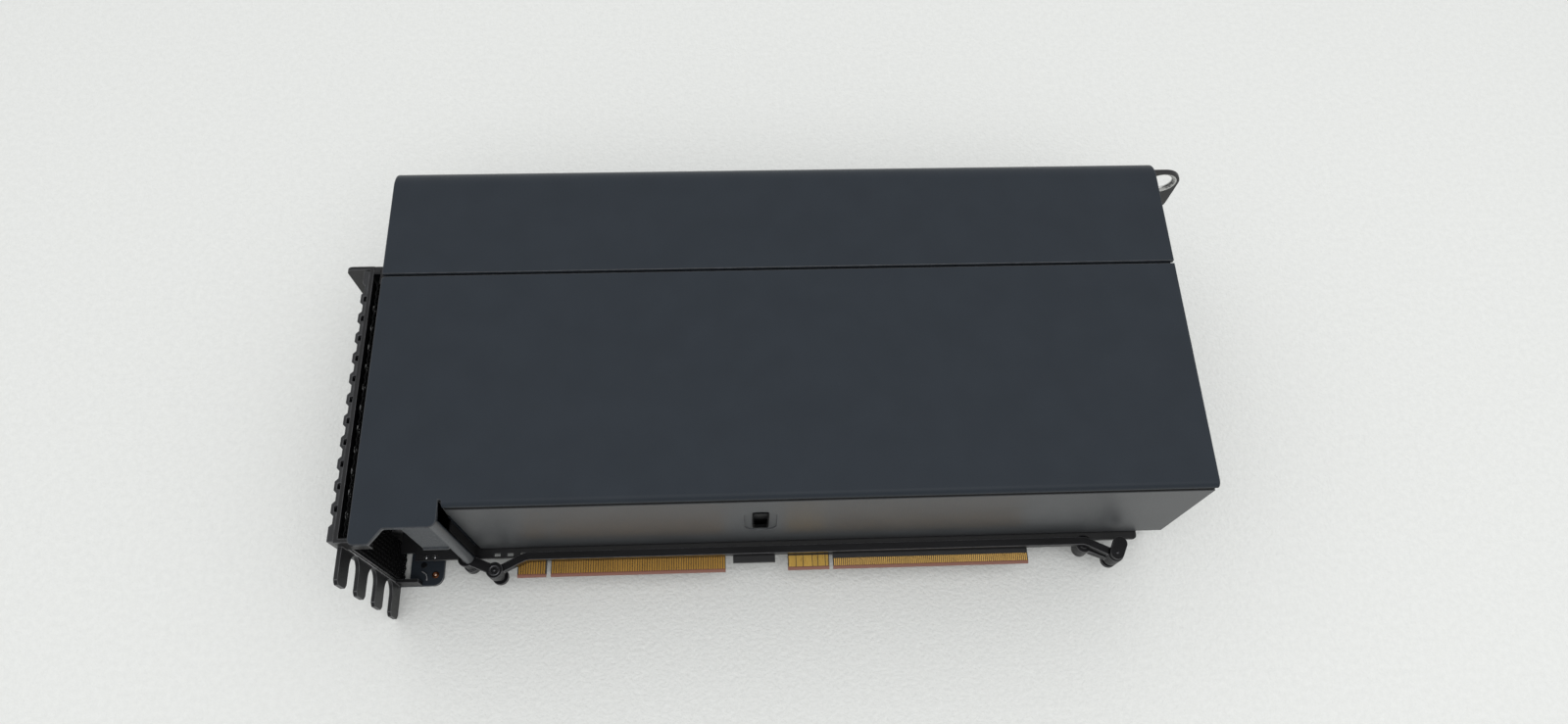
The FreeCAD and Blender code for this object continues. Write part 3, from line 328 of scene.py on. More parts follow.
def anodised_aluminium(name, colour, drift, roughness, film, wear_and_highlight=None):
    """Bead-blasted, dark anodised aluminium.

    The dye sits in a clear oxide film on the blasted metal: a deep, almost even tone from above, and a soft
    broad sheen as strong as the film, which shows the pale table in upright walls. Where there is a colour
    for it, the upright corner beside the bracket gets a painted highlight: pale colour where it faces the table.
    """
    material, tree, shader, place = new_material(name)
    # the blast leaves pits near 0.1 mm wide, drawn here at 0.5 mm so that they show
    under = surface(tree, shader, place, (shade(colour, 1 - drift), shade(colour, 1 + drift)), patch=16,
                    grit=0.5, height=0.004, roughness=(roughness - 0.04, roughness + 0.04))
    shader.inputs["IOR"].default_value = 1.45
    shader.inputs["Specular IOR Level"].default_value = film
    if wear_and_highlight:
        # the corner's rounding faces +X and -Y at once, so the two multiply to less than 0 there
        normal = add(tree, "ShaderNodeNewGeometry").outputs["Normal"]
        facing = add(tree, "ShaderNodeSeparateXYZ", {0: normal}).outputs
        turn = add(tree, "ShaderNodeMath", {0: facing["X"], 1: facing["Y"]}, operation="MULTIPLY").outputs[0]
        # the pale colour mixed in on this rounding is a painted highlight, standing in for the table it reflects
        corner = add(tree, "ShaderNodeMapRange", {"Value": turn, "From Min": -0.12, "From Max": -0.3})
        mix = add(tree, "ShaderNodeMix", {FACTOR: corner.outputs[0], FIRST: under, SECOND: wear_and_highlight},
                  data_type="RGBA")
        tree.links.new(mix.outputs[BLEND], shader.inputs["Base Color"])
    return material


def black_anodised_sheet(name, colour, bare):
    """Black anodised aluminium sheet, with the bevel round the ear's hole cut bright afterwards.

    The sheet swallows light and keeps a satin edge; the countersink shows bare turned metal.
    """
    material, tree, shader, place = new_material(name)
    under = surface(tree, shader, place, (shade(colour, 0.8), shade(colour, 1.2)), patch=9, grit=0.5,
                    height=0.004, roughness=(0.34, 0.44))
    offset = add(tree, "ShaderNodeVectorMath", {0: place, 1: EAR_HOLE * MM}, operation="SUBTRACT")
    flat = add(tree, "ShaderNodeVectorMath", {0: offset.outputs[0], 1: (1, 0, 1)}, operation="MULTIPLY")
    reach = add(tree, "ShaderNodeVectorMath", {0: flat.outputs[0]}, operation="LENGTH").outputs["Value"]
    near = band(tree, reach, EAR_BEVEL_INSIDE, EAR_BEVEL_OUTSIDE, blur=0.04)
    # the ear's faces look along Y, and its bevel and its edges lean away from that
    normal = add(tree, "ShaderNodeNewGeometry").outputs["True Normal"]
    facing = add(tree, "ShaderNodeSeparateXYZ", {0: normal}).outputs
    tilt = add(tree, "ShaderNodeMath", {0: facing["Y"]}, operation="ABSOLUTE")
    sloped = add(tree, "ShaderNodeMapRange", {
        "Value": tilt.outputs[0], "From Min": 0.93, "From Max": 0.97, "To Min": 1.0, "To Max": 0.0,
    })
    cut = add(tree, "ShaderNodeMath", {0: near, 1: sloped.outputs[0]}, operation="MULTIPLY").outputs[0]
    mix = add(tree, "ShaderNodeMix", {FACTOR: cut, FIRST: under, SECOND: bare}, data_type="RGBA")
    tree.links.new(mix.outputs[BLEND], shader.inputs["Base Color"])
    tree.links.new(cut, shader.inputs["Metallic"])
    return material


def black_plated_steel(name, colour):
    """Black zinc-nickel plated sheet steel: satin black, a little cloudy from the bath."""
    material, tree, shader, place = new_material(name)
    surface(tree, shader, place, (shade(colour, 0.75), shade(colour, 1.25)), patch=7, grit=0.6, height=0.006,
            roughness=(0.36, 0.48))
    shader.inputs["Specular IOR Level"].default_value = 0.35
    return material


def rubbed_edge(name, colour):
    """Edge of a dark finish, polished by handling: a thin grey line, brighter where it is rubbed most."""
    material, tree, shader, place = new_material(name)
    surface(tree, shader, place, (shade(colour, 0.6), shade(colour, 1.3)), patch=3, grit=0.4, height=0.003,
            roughness=(0.26, 0.40))
    return material


def milled_anodised_aluminium(name, colour):
    """Milled, black anodised aluminium: faint cutter lines across the webs, satin sheen."""
    material, tree, shader, place = new_material(name)
    surface(tree, shader, place, (shade(colour, 0.8), shade(colour, 1.3)), patch=6, grit=0.4, height=0,
            roughness=(0.32, 0.44))
    # cutter lines are about 0.2 mm apart, drawn 3.77 mm apart so that they show
    line_gap = 3.77
    # the node draws 20 / 2 pi lines to a unit at scale 1
    lines = add(tree, "ShaderNodeTexWave", {
        "Vector": place, "Scale": per_mm(line_gap) * 2 * math.pi / 20, "Distortion": 1.5,
    }, bands_direction="Z")
    bump = add(tree, "ShaderNodeBump", {"Height": lines.outputs[0], "Distance": 0.003 * MM})
    tree.links.new(bump.outputs[0], shader.inputs["Normal"])
    return material


def oxide_black_steel(name, colour):
    """Black oxide steel, stamped: deep dull black that gives little back, with faint rolling streaks."""
    material, tree, shader, place = new_material(name)
    streaks = add(tree, "ShaderNodeMapping", {"Vector": place, "Scale": (0.12, 1.0, 1.0)})
    surface(tree, shader, streaks.outputs[0], (shade(colour, 0.7), shade(colour, 1.4)), patch=3, grit=0.5,
            height=0.005, roughness=(0.30, 0.44))
    shader.inputs["Specular IOR Level"].default_value = 0.2
    return material


def plated_steel(name, colour):
    """Plated steel, tin solder or a peened pin: metal grey, bright in light, with soft lengthways marks."""
    material, tree, shader, place = new_material(name)
    drawn = add(tree, "ShaderNodeMapping", {"Vector": place, "Scale": (0.15, 1.0, 1.0)})
    surface(tree, shader, drawn.outputs[0], (shade(colour, 0.8), shade(colour, 1.1)), patch=2.0, grit=0.35,
            height=0.003, roughness=(0.22, 0.38))
    shader.inputs["Metallic"].default_value = 1.0
    return material


def solder_mask_board(name, mask, laminate, bevel_edge):
    """Glass-epoxy laminate under black solder mask.

    The mask is a smooth satin black. It stops short of the edge contacts, where the bare laminate shows tan,
    and the ground bevel at the tips shows the reddish core.
    """
    material, tree, shader, place = new_material(name)
    colour = surface(tree, shader, place, (shade(mask, 0.8), shade(mask, 1.3)), patch=5, grit=0.5,
                     height=0.003, roughness=(0.30, 0.42))
    axes = add(tree, "ShaderNodeSeparateXYZ", {0: place}).outputs
    # glass cloth has about 0.5 mm between threads
    glass = add(tree, "ShaderNodeTexNoise", {"Vector": place, "Scale": per_mm(0.5), "Detail": 2.0}).outputs[0]
    cloth = add(tree, "ShaderNodeMix", {
        FACTOR: glass, FIRST: shade(laminate, 0.7), SECOND: shade(laminate, 1.25),
    }, data_type="RGBA").outputs[BLEND]
    core = add(tree, "ShaderNodeMix", {
        FACTOR: glass, FIRST: shade(bevel_edge, 0.75), SECOND: shade(bevel_edge, 1.3),
    }, data_type="RGBA").outputs[BLEND]
    side_gap = 0.5
    mask_gap = 0.25
    bevel_gap = 0.05
    off_board = BOARD_TIP_Y - 1
    for contacts in ("x16_contacts", "power_contacts", "fine_contacts"):
        start = low(contacts)
        end = high(contacts)
        along = band(tree, axes["X"], start.x - side_gap, end.x + side_gap, blur=0.05)
        bare = band(tree, axes["Y"], off_board, end.y + mask_gap, blur=0.08)
        ground = band(tree, axes["Y"], off_board, start.y - bevel_gap, blur=0.06)
        for reach, paint in ((bare, cloth), (ground, core)):
            where = add(tree, "ShaderNodeMath", {0: along, 1: reach}, operation="MULTIPLY").outputs[0]
            colour = add(tree, "ShaderNodeMix", {FACTOR: where, FIRST: colour, SECOND: paint},
                         data_type="RGBA").outputs[BLEND]
    tree.links.new(colour, shader.inputs["Base Color"])
    return material


def hard_gold(name, colour):
    """Hard gold, plated on nickel: warm soft-gloss metal, each finger wiped along its length."""
    material, tree, shader, place = new_material(name)
    wiped = add(tree, "ShaderNodeMapping", {"Vector": place, "Scale": (1.0, 0.12, 1.0)})
    surface(tree, shader, wiped.outputs[0], (shade(colour, 0.90), shade(colour, 1.06)), patch=4, grit=0.5,
            height=0.002, roughness=(0.26, 0.34))
    shader.inputs["Metallic"].default_value = 1.0
    return material


def moulded_plastic(name, colour, roughness):
    """Filled resin, moulded or coated: dull, finely sparked by its mould, with faint flow clouds."""
    material, tree, shader, place = new_material(name)
    surface(tree, shader, place, (shade(colour, 0.8), shade(colour, 1.25)), patch=4, grit=0.4, height=0.008,
            roughness=(roughness - 0.06, roughness + 0.06))
    return material


def lacquered_wire(name, colour):
    """Steel wire, dipped in black lacquer: a dull black that gives little back, with soft runs."""
    material, tree, shader, place = new_material(name)
    surface(tree, shader, place, (shade(colour, 0.5), shade(colour, 1.5)), patch=2, grit=0.5, height=0.01,
            roughness=(0.6, 0.8))
    shader.inputs["Specular IOR Level"].default_value = 0.15
    return material


def pressed_ferrite(name, colour):
    """Ferrite powder, pressed and fired: stony dark grey with a speckled, slightly pitted face."""
    material, tree, shader, place = new_material(name)
    surface(tree, shader, place, (shade(colour, 0.7), shade(colour, 1.3)), patch=0.8, grit=0.4, height=0.02,
            roughness=(0.55, 0.75))
    return material


def silicone_pad(name, colour):
    """Silicone rubber filled with ceramic powder, calendered: soft, chalky and matt."""
    material, tree, shader, place = new_material(name)
    surface(tree, shader, place, (shade(colour, 0.92), shade(colour, 1.05)), patch=3, grit=0.6, height=0.02,
            roughness=(0.75, 0.9))
    return material


def polished_silicon(name, colour):
    """Silicon, ground and polished: a dark cool mirror with the faintest haze."""
    material, tree, shader, place = new_material(name)
    surface(tree, shader, place, (shade(colour, 0.9), shade(colour, 1.1)), patch=8, grit=1.0, height=0.001,
            roughness=(0.10, 0.18))
    shader.inputs["IOR"].default_value = 3.9
    return material


def foam(name, colour):
    """Open-cell black foam tape: the cells drink nearly all light and leave a speckled matt face."""
    material, tree, shader, place = new_material(name)
    # cells near 0.3 mm are drawn at 0.7 mm so that they show
    cells = add(tree, "ShaderNodeTexVoronoi", {"Vector": place, "Scale": per_mm(0.7)}).outputs[0]
    mix = add(tree, "ShaderNodeMix", {FACTOR: cells, FIRST: shade(colour, 0.4), SECOND: shade(colour, 1.6)},
              data_type="RGBA")
    bump = add(tree, "ShaderNodeBump", {"Height": cells, "Distance": 0.12 * MM})
    tree.links.new(mix.outputs[BLEND], shader.inputs["Base Color"])
    tree.links.new(bump.outputs[0], shader.inputs["Normal"])
    shader.inputs["Roughness"].default_value = 0.95
    shader.inputs["Specular IOR Level"].default_value = 0.2
    return material


def worked_metal(name, colour, roughness, metallic):
    """Copper, tinned strip or fins whose black is painted shade, rolled or turned: long faint tool streaks and
    cloudy tarnish.
    """
    material, tree, shader, place = new_material(name)
    rolls = add(tree, "ShaderNodeMapping", {"Vector": place, "Scale": (0.1, 1.0, 1.0)})
    surface(tree, shader, rolls.outputs[0], (shade(colour, 0.75), shade(colour, 1.15)), patch=6, grit=0.5,
            height=0.004, roughness=(roughness - 0.06, roughness + 0.08))
    shader.inputs["Metallic"].default_value = metallic
    return material


def table_top(name, colour):
    """Pale matt laminate table: almost white with a faint grain, soft shadows and no mirror image."""
    material, tree, shader, place = new_material(name)
    surface(tree, shader, place, (shade(colour, 0.975), shade(colour, 1.015)), patch=2.6, grit=1.5,
            height=0.4, roughness=(0.62, 0.74))
    return material


# Settings


def colour_property(label, text, hex_colour):
    """A colour that a user can change."""
    return bpy.props.FloatVectorProperty(name=label, description=text, default=linear(hex_colour), size=4,
                                         subtype="COLOR", min=0.0, max=1.0)


def length_property(label, text, millimetres):
    """A length that a user can change."""
    return bpy.props.FloatProperty(name=label, description=text, default=millimetres * MM, min=0.0,
                                   unit="LENGTH", precision=5)


class CARD_PG_finish(bpy.types.PropertyGroup):
    """Colours of the finishes."""

    shell: colour_property("Covers", "Dye of the anodised covers", "#2F343A")
    # painted highlight: pale colour on the covers' upright corner, standing in for the table it reflects
    corner_highlight: colour_property("Corner highlight", "Painted highlight on the covers' upright corner", "#5E6062")
    cover_edge: colour_property("Cover edge", "Burnished edges of the covers", "#2E3136")
    # the wall's own dye, set lighter than the covers' as painted light from the bright table it faces
    wall: colour_property("Near wall", "Dye of the anodised near wall", "#424446")
    black_sheet: colour_property("Black sheet", "Dye of the ear and the seam strips", "#141416")
    bare_cut: colour_property("Bare cut", "Bare aluminium of the ear's bevel", "#D6D6D4")
    bracket: colour_property("Bracket", "Black plating of the bracket", "#111113")
    wear_and_highlight: colour_property("Worn edge", "Grey of polished edges and of the pin ends", "#4A4A4C")
    lattice: colour_property("Lattice", "Dye of the vent lattice", "#141518")
    steel: colour_property("Plated steel", "Plating of sockets, screws and small fittings", "#B2B2B4")
    linkage: colour_property("Linkage", "Black oxide of the linkage", "#101012")
    mask: colour_property("Solder mask", "Solder mask of the board", "#0E0E10")
    laminate: colour_property("Laminate", "Bare laminate between the contacts", "#22170B")
    bevel_edge: colour_property("Ground bevel", "Laminate core at the ground tips", "#7A4632")
    # the three golds are one hard gold, each set to the tone its row shows
    gold: colour_property("Gold", "Hard gold of the first row of edge contacts", "#B28842")
    fine_gold: colour_property("Fine gold", "Hard gold of the fine contacts", "#C8A05A")
    power_gold: colour_property("Power gold", "Hard gold of the power contacts", "#BE9A50")
    copper: colour_property("Copper", "Copper of the vapour chamber and the grommet", "#C67A50")
    pin: colour_property("Pin", "Polished pin in the grommet", "#F4D2BA")
    moulding: colour_property("Moulding", "Black moulded parts", "#0E0E0F")
    substrate: colour_property("Substrate", "Processor substrate", "#24402F")
    silicon: colour_property("Silicon", "Polished processor die", "#4F4F58")
    pad: colour_property("Thermal pad", "Soft pads on the memory", "#898D9B")
    ferrite: colour_property("Ferrite", "Pressed inductor cores", "#454547")
    # the fins' black is painted shade for the deep window in the near wall
    fins: colour_property("Fins", "Fins, painted black as shade", "#101012")
    # this black is also painted shade in the foam at the corner and under the lip
    foam: colour_property("Foam", "Foam seals and the screen's lacquer", "#070708")
    table: colour_property("Table", "Table under the module", "#E9EAE7")


class CARD_PG_size(bpy.types.PropertyGroup):
    """Sizes of edges and small trim."""

    shell_edge: length_property("Shell edge", "Radius of the covers' broken edges", 0.35)
    metal_edge: length_property("Metal edge", "Radius of broken edges on sheet and links", 0.18)
    chip_edge: length_property("Chip edge", "Radius of broken edges on the parts of the board", 0.12)
    tape: length_property("Tape", "Thickness of the foam tape", 0.5)
    screen_pitch: length_property("Screen pitch", "Spacing of the wires in the bracket's screen", 1.8)
    screen_wire: length_property("Screen wire", "Diameter of the screen's wires", 0.6)


class CARD_PG_stage(bpy.types.PropertyGroup):
    """Camera, table and light."""

    camera_place: bpy.props.FloatVectorProperty(
        name="Camera place", description="Where the camera stands", subtype="TRANSLATION", unit="LENGTH",
        default=[v * MM for v in (-17.634, -181.484, 450.434)])
    camera_turn: bpy.props.FloatVectorProperty(
        name="Camera turn", description="Rotation of the camera", subtype="EULER", unit="ROTATION",
        default=[math.radians(a) for a in (23.784, -1.623, -2.015)])
    lens: bpy.props.FloatProperty(
        name="Lens", description="Focal length in mm on a 36 mm sensor", default=24.293, min=1.0)
    lamp_power: bpy.props.FloatProperty(
        name="Lamp power", description="Power of the lamp in watts", default=5.8, min=0.0)
    lamp_place: bpy.props.FloatVectorProperty(
        name="Lamp place", description="Where the lamp hangs, in front of the module and over it",
        subtype="TRANSLATION", unit="LENGTH", default=(0.15, -0.55, 1.3))
    lamp_size: length_property("Lamp size", "Side of the square lamp", 1200)
    table_size: length_property("Table size", "Side of the square table", 5000)
    sky: bpy.props.FloatProperty(
        name="Room light", description="Strength of the light from the room", default=0.95, min=0.0)


# Operators


class CARD_OT_shells(bpy.types.Operator):
    """Finishes the covers, the near wall, the seam strips and the ear"""

    bl_idname = "card.shells"
    bl_label = "Shells"

    def execute(self, context):
        finish = context.scene.card_finish
        size = context.scene.card_size
        covers = ["main_cover", "outboard_cover", "bottom_cover"]
        sheets = ["top_seam_strip", "bottom_seam_strip", "front_ear"]
        # the covers' upright corner gets a pale painted highlight
        shell = anodised_aluminium("Anodised aluminium, bead blasted", finish.shell, drift=0.035,
                                   roughness=0.3, film=0.1, wear_and_highlight=finish.corner_highlight)
        # the wall's colour is lighter than the covers' as painted light from the bright table it faces
        wall = anodised_aluminium("Anodised aluminium wall, bead blasted", finish.wall, drift=0.05,
                                  roughness=0.42, film=0.5)
        dress(covers, shell, rubbed_edge("Anodised edge, burnished", finish.cover_edge))
        dress(["side_wall"], wall)
        dress(sheets, black_anodised_sheet("Black anodised sheet", finish.black_sheet, finish.bare_cut))
        soften(["main_cover", "outboard_cover"], size.shell_edge)
        soften(["bottom_cover"], size.shell_edge, clamp=True)
        soften(["side_wall"] + sheets, size.metal_edge)
        return {"FINISHED"}


class CARD_OT_seals(bpy.types.Operator):
    """Adds foam round the window, black foam as painted shade at the corner and lip, and stops in the seam's ends
    """

    bl_idname = "card.seals"
    bl_label = "Seals"

    def execute(self, context):
        finish = context.scene.card_finish
        black = foam("Foam tape", finish.foam)
        resin = moulded_plastic("Moulded seam stop", finish.moulding, 0.5)
        tape = context.scene.card_size.tape / MM
        # the black foam at the corner's cut, on its side face and in the lip's groove is painted shade
        shade_foam = prisms("painted_shade_foam", [self.strip(tape), self.wedge(), self.lip()], break_edge=0.12)
        new_piece("painted_shade_foam", shade_foam, black, BODY)
        new_piece("window_grommet", self.grommet(), black, BODY)
        stops = prisms("seam_stops", self.stops(), break_edge=0.1)
        new_piece("seam_stops", stops, resin, BODY)
        return {"FINISHED"}

    def strip(self, tape):
        """Black tape on the corner's side face: painted shade at the dark left end of the near wall."""
        near = WALL_Y - 4.5
        far = WALL_Y - 0.6
        foot = 24.8
        head = COVER_TOP_Z - 17.0
        x = CORNER_X
        outline = [(x, near, foot), (x, far, foot), (x, far, head), (x, near, head)]
        return outline, (tape, 0, 0)

    def wedge(self):
        """A black wedge in the corner's relief cut: painted shade in the opening."""
        thickness = 1.5
        inside = CORNER_X - 1.9
        near = WALL_Y - 4.0
        far = WALL_Y + 1.2
        peak = COVER_TOP_Z - 2.3
        point = peak - 14.5
        return [(inside, near, peak), (inside, far, peak), (inside, far, point)], (thickness, 0, 0)

    def lip(self):
        """A black strip on the near wall's top edge that fills the groove under the cover's lip: painted shade."""
        start = low("side_wall").x + 0.3
        end = high("side_wall").x - 0.6
        near = WALL_Y + 0.35
        far = WALL_Y + 1.4
        foot = high("side_wall").z
        head = foot + 2.75
        section = [(start, near, foot), (start, far, foot), (start, far, head), (start, near, head)]
        return section, (end - start, 0, 0)

    def stops(self):
        """Short blocks that carry the seam strips' lines out to the covers' ends."""
        bite = 2.5
        rear_reach = -1.9
        front_reach = 1.3
        near = high("main_cover").y - bite
        far = low("outboard_cover").y + bite
        jobs = []
        for strip in ("top_seam_strip", "bottom_seam_strip"):
            first = low(strip)
            last = high(strip)
            for x, reach in ((first.x, rear_reach), (last.x, front_reach)):
                section = [(x, near, first.z), (x, far, first.z), (x, far, last.z), (x, near, last.z)]
                jobs.append((section, (reach, 0, 0)))
        return jobs

    def grommet(self):
        """A thin frame that lines the window in the near wall: almost square outside, rounder inside."""
        sides = 48
        front = WALL_Y + 0.15
        back = WALL_Y + 1.5
        outer = (0.0, 0.12)
        inner = (0.45, 0.3)
        shape = bmesh.new()
        rings = []
        for y, (inset, power) in ((front, outer), (front, inner), (back, inner), (back, outer)):
            ring = []
            for i in range(sides):
                turn = 2 * math.pi * (i + 0.5) / sides
                # a superellipse: the smaller the power, the squarer
                across, up = [math.copysign(abs(v) ** power, v) for v in (math.cos(turn), math.sin(turn))]
                x = WINDOW_X + across * (WINDOW_WIDTH / 2 - inset)
                z = WINDOW_Z + up * (WINDOW_HEIGHT / 2 - inset)
                ring.append(shape.verts.new(Vector((x, y, z)) * MM))
            rings.append(ring)
        for first, second in zip(rings, rings[1:] + rings[:1]):
            for i in range(sides):
                j = (i + 1) % sides
                shape.faces.new([first[i], first[j], second[j], second[i]])
        bmesh.ops.recalc_face_normals(shape, faces=shape.faces)
        return new_mesh("window_grommet", shape)


class CARD_OT_bracket(bpy.types.Operator):
    """Finishes the bracket, its lattice and the sockets, and adds the folded tab at the bracket's head"""

    bl_idname = "card.bracket"
    bl_label = "Bracket and sockets"

    def execute(self, context):
        finish = context.scene.card_finish
        size = context.scene.card_size
        sockets = ["data_ports", "video_port"]
        edge = rubbed_edge("Black plating, rubbed", finish.wear_and_highlight)
        milled = milled_anodised_aluminium("Black anodised aluminium, milled", finish.lattice)
        dress(["io_bracket"], black_plated_steel("Black plated steel sheet", finish.bracket), edge)
        dress(["vent_lattice"], milled, edge)
        dress(sockets, plated_steel("Nickel plated steel, drawn", finish.steel))
        dress(["port_tongues"], moulded_plastic("Moulded socket tongue", finish.moulding, 0.5))
        soften(["io_bracket", "vent_lattice"] + sockets, size.metal_edge)
        soften(["port_tongues"], 0)
        folded = black_plated_steel("Black plated steel, folded", finish.bracket)
        new_piece("head_gusset", self.gusset(), folded, BODY)
        return {"FINISHED"}

    def gusset(self):
        """A folded tab from the bracket to the covers, with a seat and a tongue across the seam's end."""
        sheet = 1.6
        start = BRACKET_INNER_X - 0.1
        end = low("main_cover").x - 0.2
        near = low("outboard_cover").y + 3.2
        far = high("io_bracket").y - 0.1
        top = high("io_bracket").z - 0.2
        tongue_x = end - 2.4
        tongue_y = near - 4.4
        corners = [(start, near), (tongue_x, near), (tongue_x, tongue_y), (end, tongue_y), (end, far),
                   (start, far)]
        plate = [(x, y, top - sheet) for x, y in corners]
        seat_x = start + 2.6
        seat_near = near + 0.4
        seat_far = near + 1.8
        seat_height = 0.15
        seat = [(start, seat_near, top), (seat_x, seat_near, top), (seat_x, seat_far, top),
                (start, seat_far, top)]
        jobs = [(plate, (0, 0, sheet)), (seat, (0, 0, seat_height))]
        return prisms("head_gusset", jobs, break_edge=0.06)


class CARD_OT_screen(bpy.types.Operator):
    """Adds the woven wire screen on the bracket's inner side"""

    bl_idname = "card.screen"
    bl_label = "Wire screen"

    def execute(self, context):
        size = context.scene.card_size
        runs = self.runs(size.screen_pitch / MM, size.screen_wire / MM)
        curve = bpy.data.curves.new("vent_screen", "CURVE")
        curve.dimensions = "3D"
        curve.bevel_depth = size.screen_wire / 2
        curve.bevel_resolution = 1
        curve.use_fill_caps = True
        for run in runs:
            spline = curve.splines.new("POLY")
            spline.points.add(len(run) - 1)
            for point, corner in zip(spline.points, run):
                point.co = (*(Vector(corner) * MM), 1)
        guide = bpy.data.objects.new("vent_screen_guide", curve)
        mesh = bpy.data.meshes.new_from_object(guide)
        bpy.data.objects.remove(guide)
        bpy.data.curves.remove(curve)
        mesh.materials.clear()
        lacquer = lacquered_wire("Steel wire, dip lacquered", context.scene.card_finish.foam)
        new_piece("vent_screen", mesh, lacquer, BODY)
        return {"FINISHED"}

    def runs(self, pitch, wire):
        """The lines of all wires: a tall field beside the sockets and a low one over them."""
        middle = BRACKET_INNER_X + 1.5
        near = FOOT_Y + 1.9
        far = high("vent_lattice").y - 4.5
        step_y = low("data_ports").y - 2.0
        foot = PLATE_TOP_Z + 0.5
        step_z = high("video_port").z + 2.0
        head = high("vent_lattice").z - 1.5
        sway = wire / 2
        lines = []
        for first, last, bottom in ((near, step_y, foot), (step_y + pitch, far, step_z)):
            for y, wave in self.wires(first, last, bottom, head, pitch, phase=0):
                lines.append([(middle + lift * sway, y, z) for z, lift in wave])
        for first, last, end in ((foot, step_z - pitch, step_y), (step_z, head, far)):
            for z, wave in self.wires(first, last, near, end, pitch, phase=0.5):
                lines.append([(middle - lift * sway, y, z) for y, lift in wave])
        return lines

    def wires(self, first, last, start, end, pitch, phase):
        """Wires along one direction: for each, its offset and the wave of over and under."""
        count = int((last - first) / pitch)
        steps = int((end - start) / pitch * 2)
        for i in range(count + 1):
            offset = first + i * pitch
            wave = []
            for k in range(steps + 1):
                lift = math.sin(math.pi * (k / 2 + i + phase))
                wave.append((start + k * pitch / 2, lift))
            yield offset, wave


class CARD_OT_foot_ridges(bpy.types.Operator):
    """Adds two ridges of bright plated steel along the bracket's foot, a painted highlight on the black foot's
    bends
    """

    bl_idname = "card.foot_ridges"
    bl_label = "Foot ridges"

    def execute(self, context):
        start = BRACKET_INNER_X - 0.1
        end = BRACKET_INNER_X + 0.55
        width = 0.5
        foot = 9.0
        height = 56.2
        jobs = []
        for y in (FOOT_Y + 0.1, FOOT_Y + 1.0):
            outline = [(start, y, foot), (end, y, foot), (end, y + width, foot), (start, y + width, foot)]
            jobs.append((outline, (0, 0, height)))
        # the ridges' bright steel is a painted highlight for the bends of the black foot
        material = plated_steel("Plated steel, painted bend highlight", context.scene.card_finish.steel)
        mesh = prisms("foot_ridges", jobs, break_edge=0.12)
        new_piece("foot_ridges", mesh, material, BODY)
        return {"FINISHED"}


class CARD_OT_foot_fittings(bpy.types.Operator):
    """Adds the grommet with its pin, the rivet and the contact spring on the foot plate"""

    bl_idname = "card.foot_fittings"
    bl_label = "Foot fittings"

    def execute(self, context):
        finish = context.scene.card_finish
        copper = worked_metal("Copper, turned", shade(finish.copper, 0.22), 0.4, 1.0)
        bright = worked_metal("Copper, polished", finish.pin, 0.25, 0.5)
        strip = worked_metal("Tinned spring strip", finish.steel, 0.4, 0.5)
        black = oxide_black_steel("Black oxide steel, turned", finish.linkage)
        grommet = Vector((-148.3, -79.1, PLATE_TOP_Z))
        rivet = Vector((-153.5, -74.9, PLATE_TOP_Z))
        ring = [(0.55, -0.05), (1.45, -0.05), (1.45, 0.25), (1.3, 0.4), (0.7, 0.4), (0.55, 0.25)]
        dome = [(0, -0.05), (0.5, -0.05), (0.5, 0.2), (0.38, 0.32), (0.2, 0.38), (0, 0.4)]
        well = [(0, -0.05), (1.25, -0.05), (1.25, 0.2), (1.12, 0.3), (0.95, 0.3), (0.88, 0.04), (0, 0.04)]
        new_piece("foot_grommet", turned("foot_grommet", [(grommet, ring)]), copper, BODY)
        new_piece("foot_grommet_pin", turned("foot_grommet_pin", [(grommet, dome)]), bright, BODY)
        new_piece("foot_rivet", turned("foot_rivet", [(rivet, well)]), black, BODY)
        new_piece("foot_spring", self.spring(), strip, BODY)
        return {"FINISHED"}

    def spring(self):
        """A bowed strip that stands on edge on the plate."""
        start = Vector((-154.05, -77.7, PLATE_TOP_Z))
        end = Vector((-151.6, -81.4, PLATE_TOP_Z))
        rise = 0.9
        half = 0.18
        height = 1.1
        steps = 16
        along = end - start
        out = Vector((-along.y, along.x, 0)).normalized()
        inner = []
        outer = []
        for i in range(steps + 1):
            part = i / steps
            base = start + along * part + out * (rise * math.sin(math.pi * part))
            inner.append(base - out * half)
            outer.append(base + out * half)
        return prisms("foot_spring", [(outer + inner[::-1], (0, 0, height))], break_edge=0.04)


class CARD_OT_board(bpy.types.Operator):
    """Finishes the board, its contacts and the parts on it"""

    bl_idname = "card.board"
    bl_label = "Board and contacts"

    def execute(self, context):
        finish = context.scene.card_finish
        chips = ["memory_chips", "power_transistors", "capacitors"]
        board = solder_mask_board("Laminate, black solder mask", finish.mask, finish.laminate,
                                  finish.bevel_edge)
        dress(["circuit_board"], board)
        # one hard gold in three tones, each set to the tone its row shows
        dress(["x16_contacts"], hard_gold("Hard gold, plated", finish.gold))
        dress(["fine_contacts"], hard_gold("Hard gold, plated fine", finish.fine_gold))
        dress(["power_contacts"], hard_gold("Hard gold, plated, power row", finish.power_gold))
        dress(chips, moulded_plastic("Epoxy moulding compound", finish.moulding, 0.45))
        dress(["processor_substrate"], moulded_plastic("Build-up laminate, coated", finish.substrate, 0.4))
        dress(["processor_die"], polished_silicon("Silicon, polished", finish.silicon))
        dress(["memory_pads"], silicone_pad("Silicone pad, calendered", finish.pad))
        dress(["inductors"], pressed_ferrite("Ferrite, pressed and fired", finish.ferrite))
        soften(["circuit_board"], 0)
        soften(chips + ["inductors", "processor_substrate", "processor_die", "memory_pads"],
               context.scene.card_size.chip_edge)
        return {"FINISHED"}


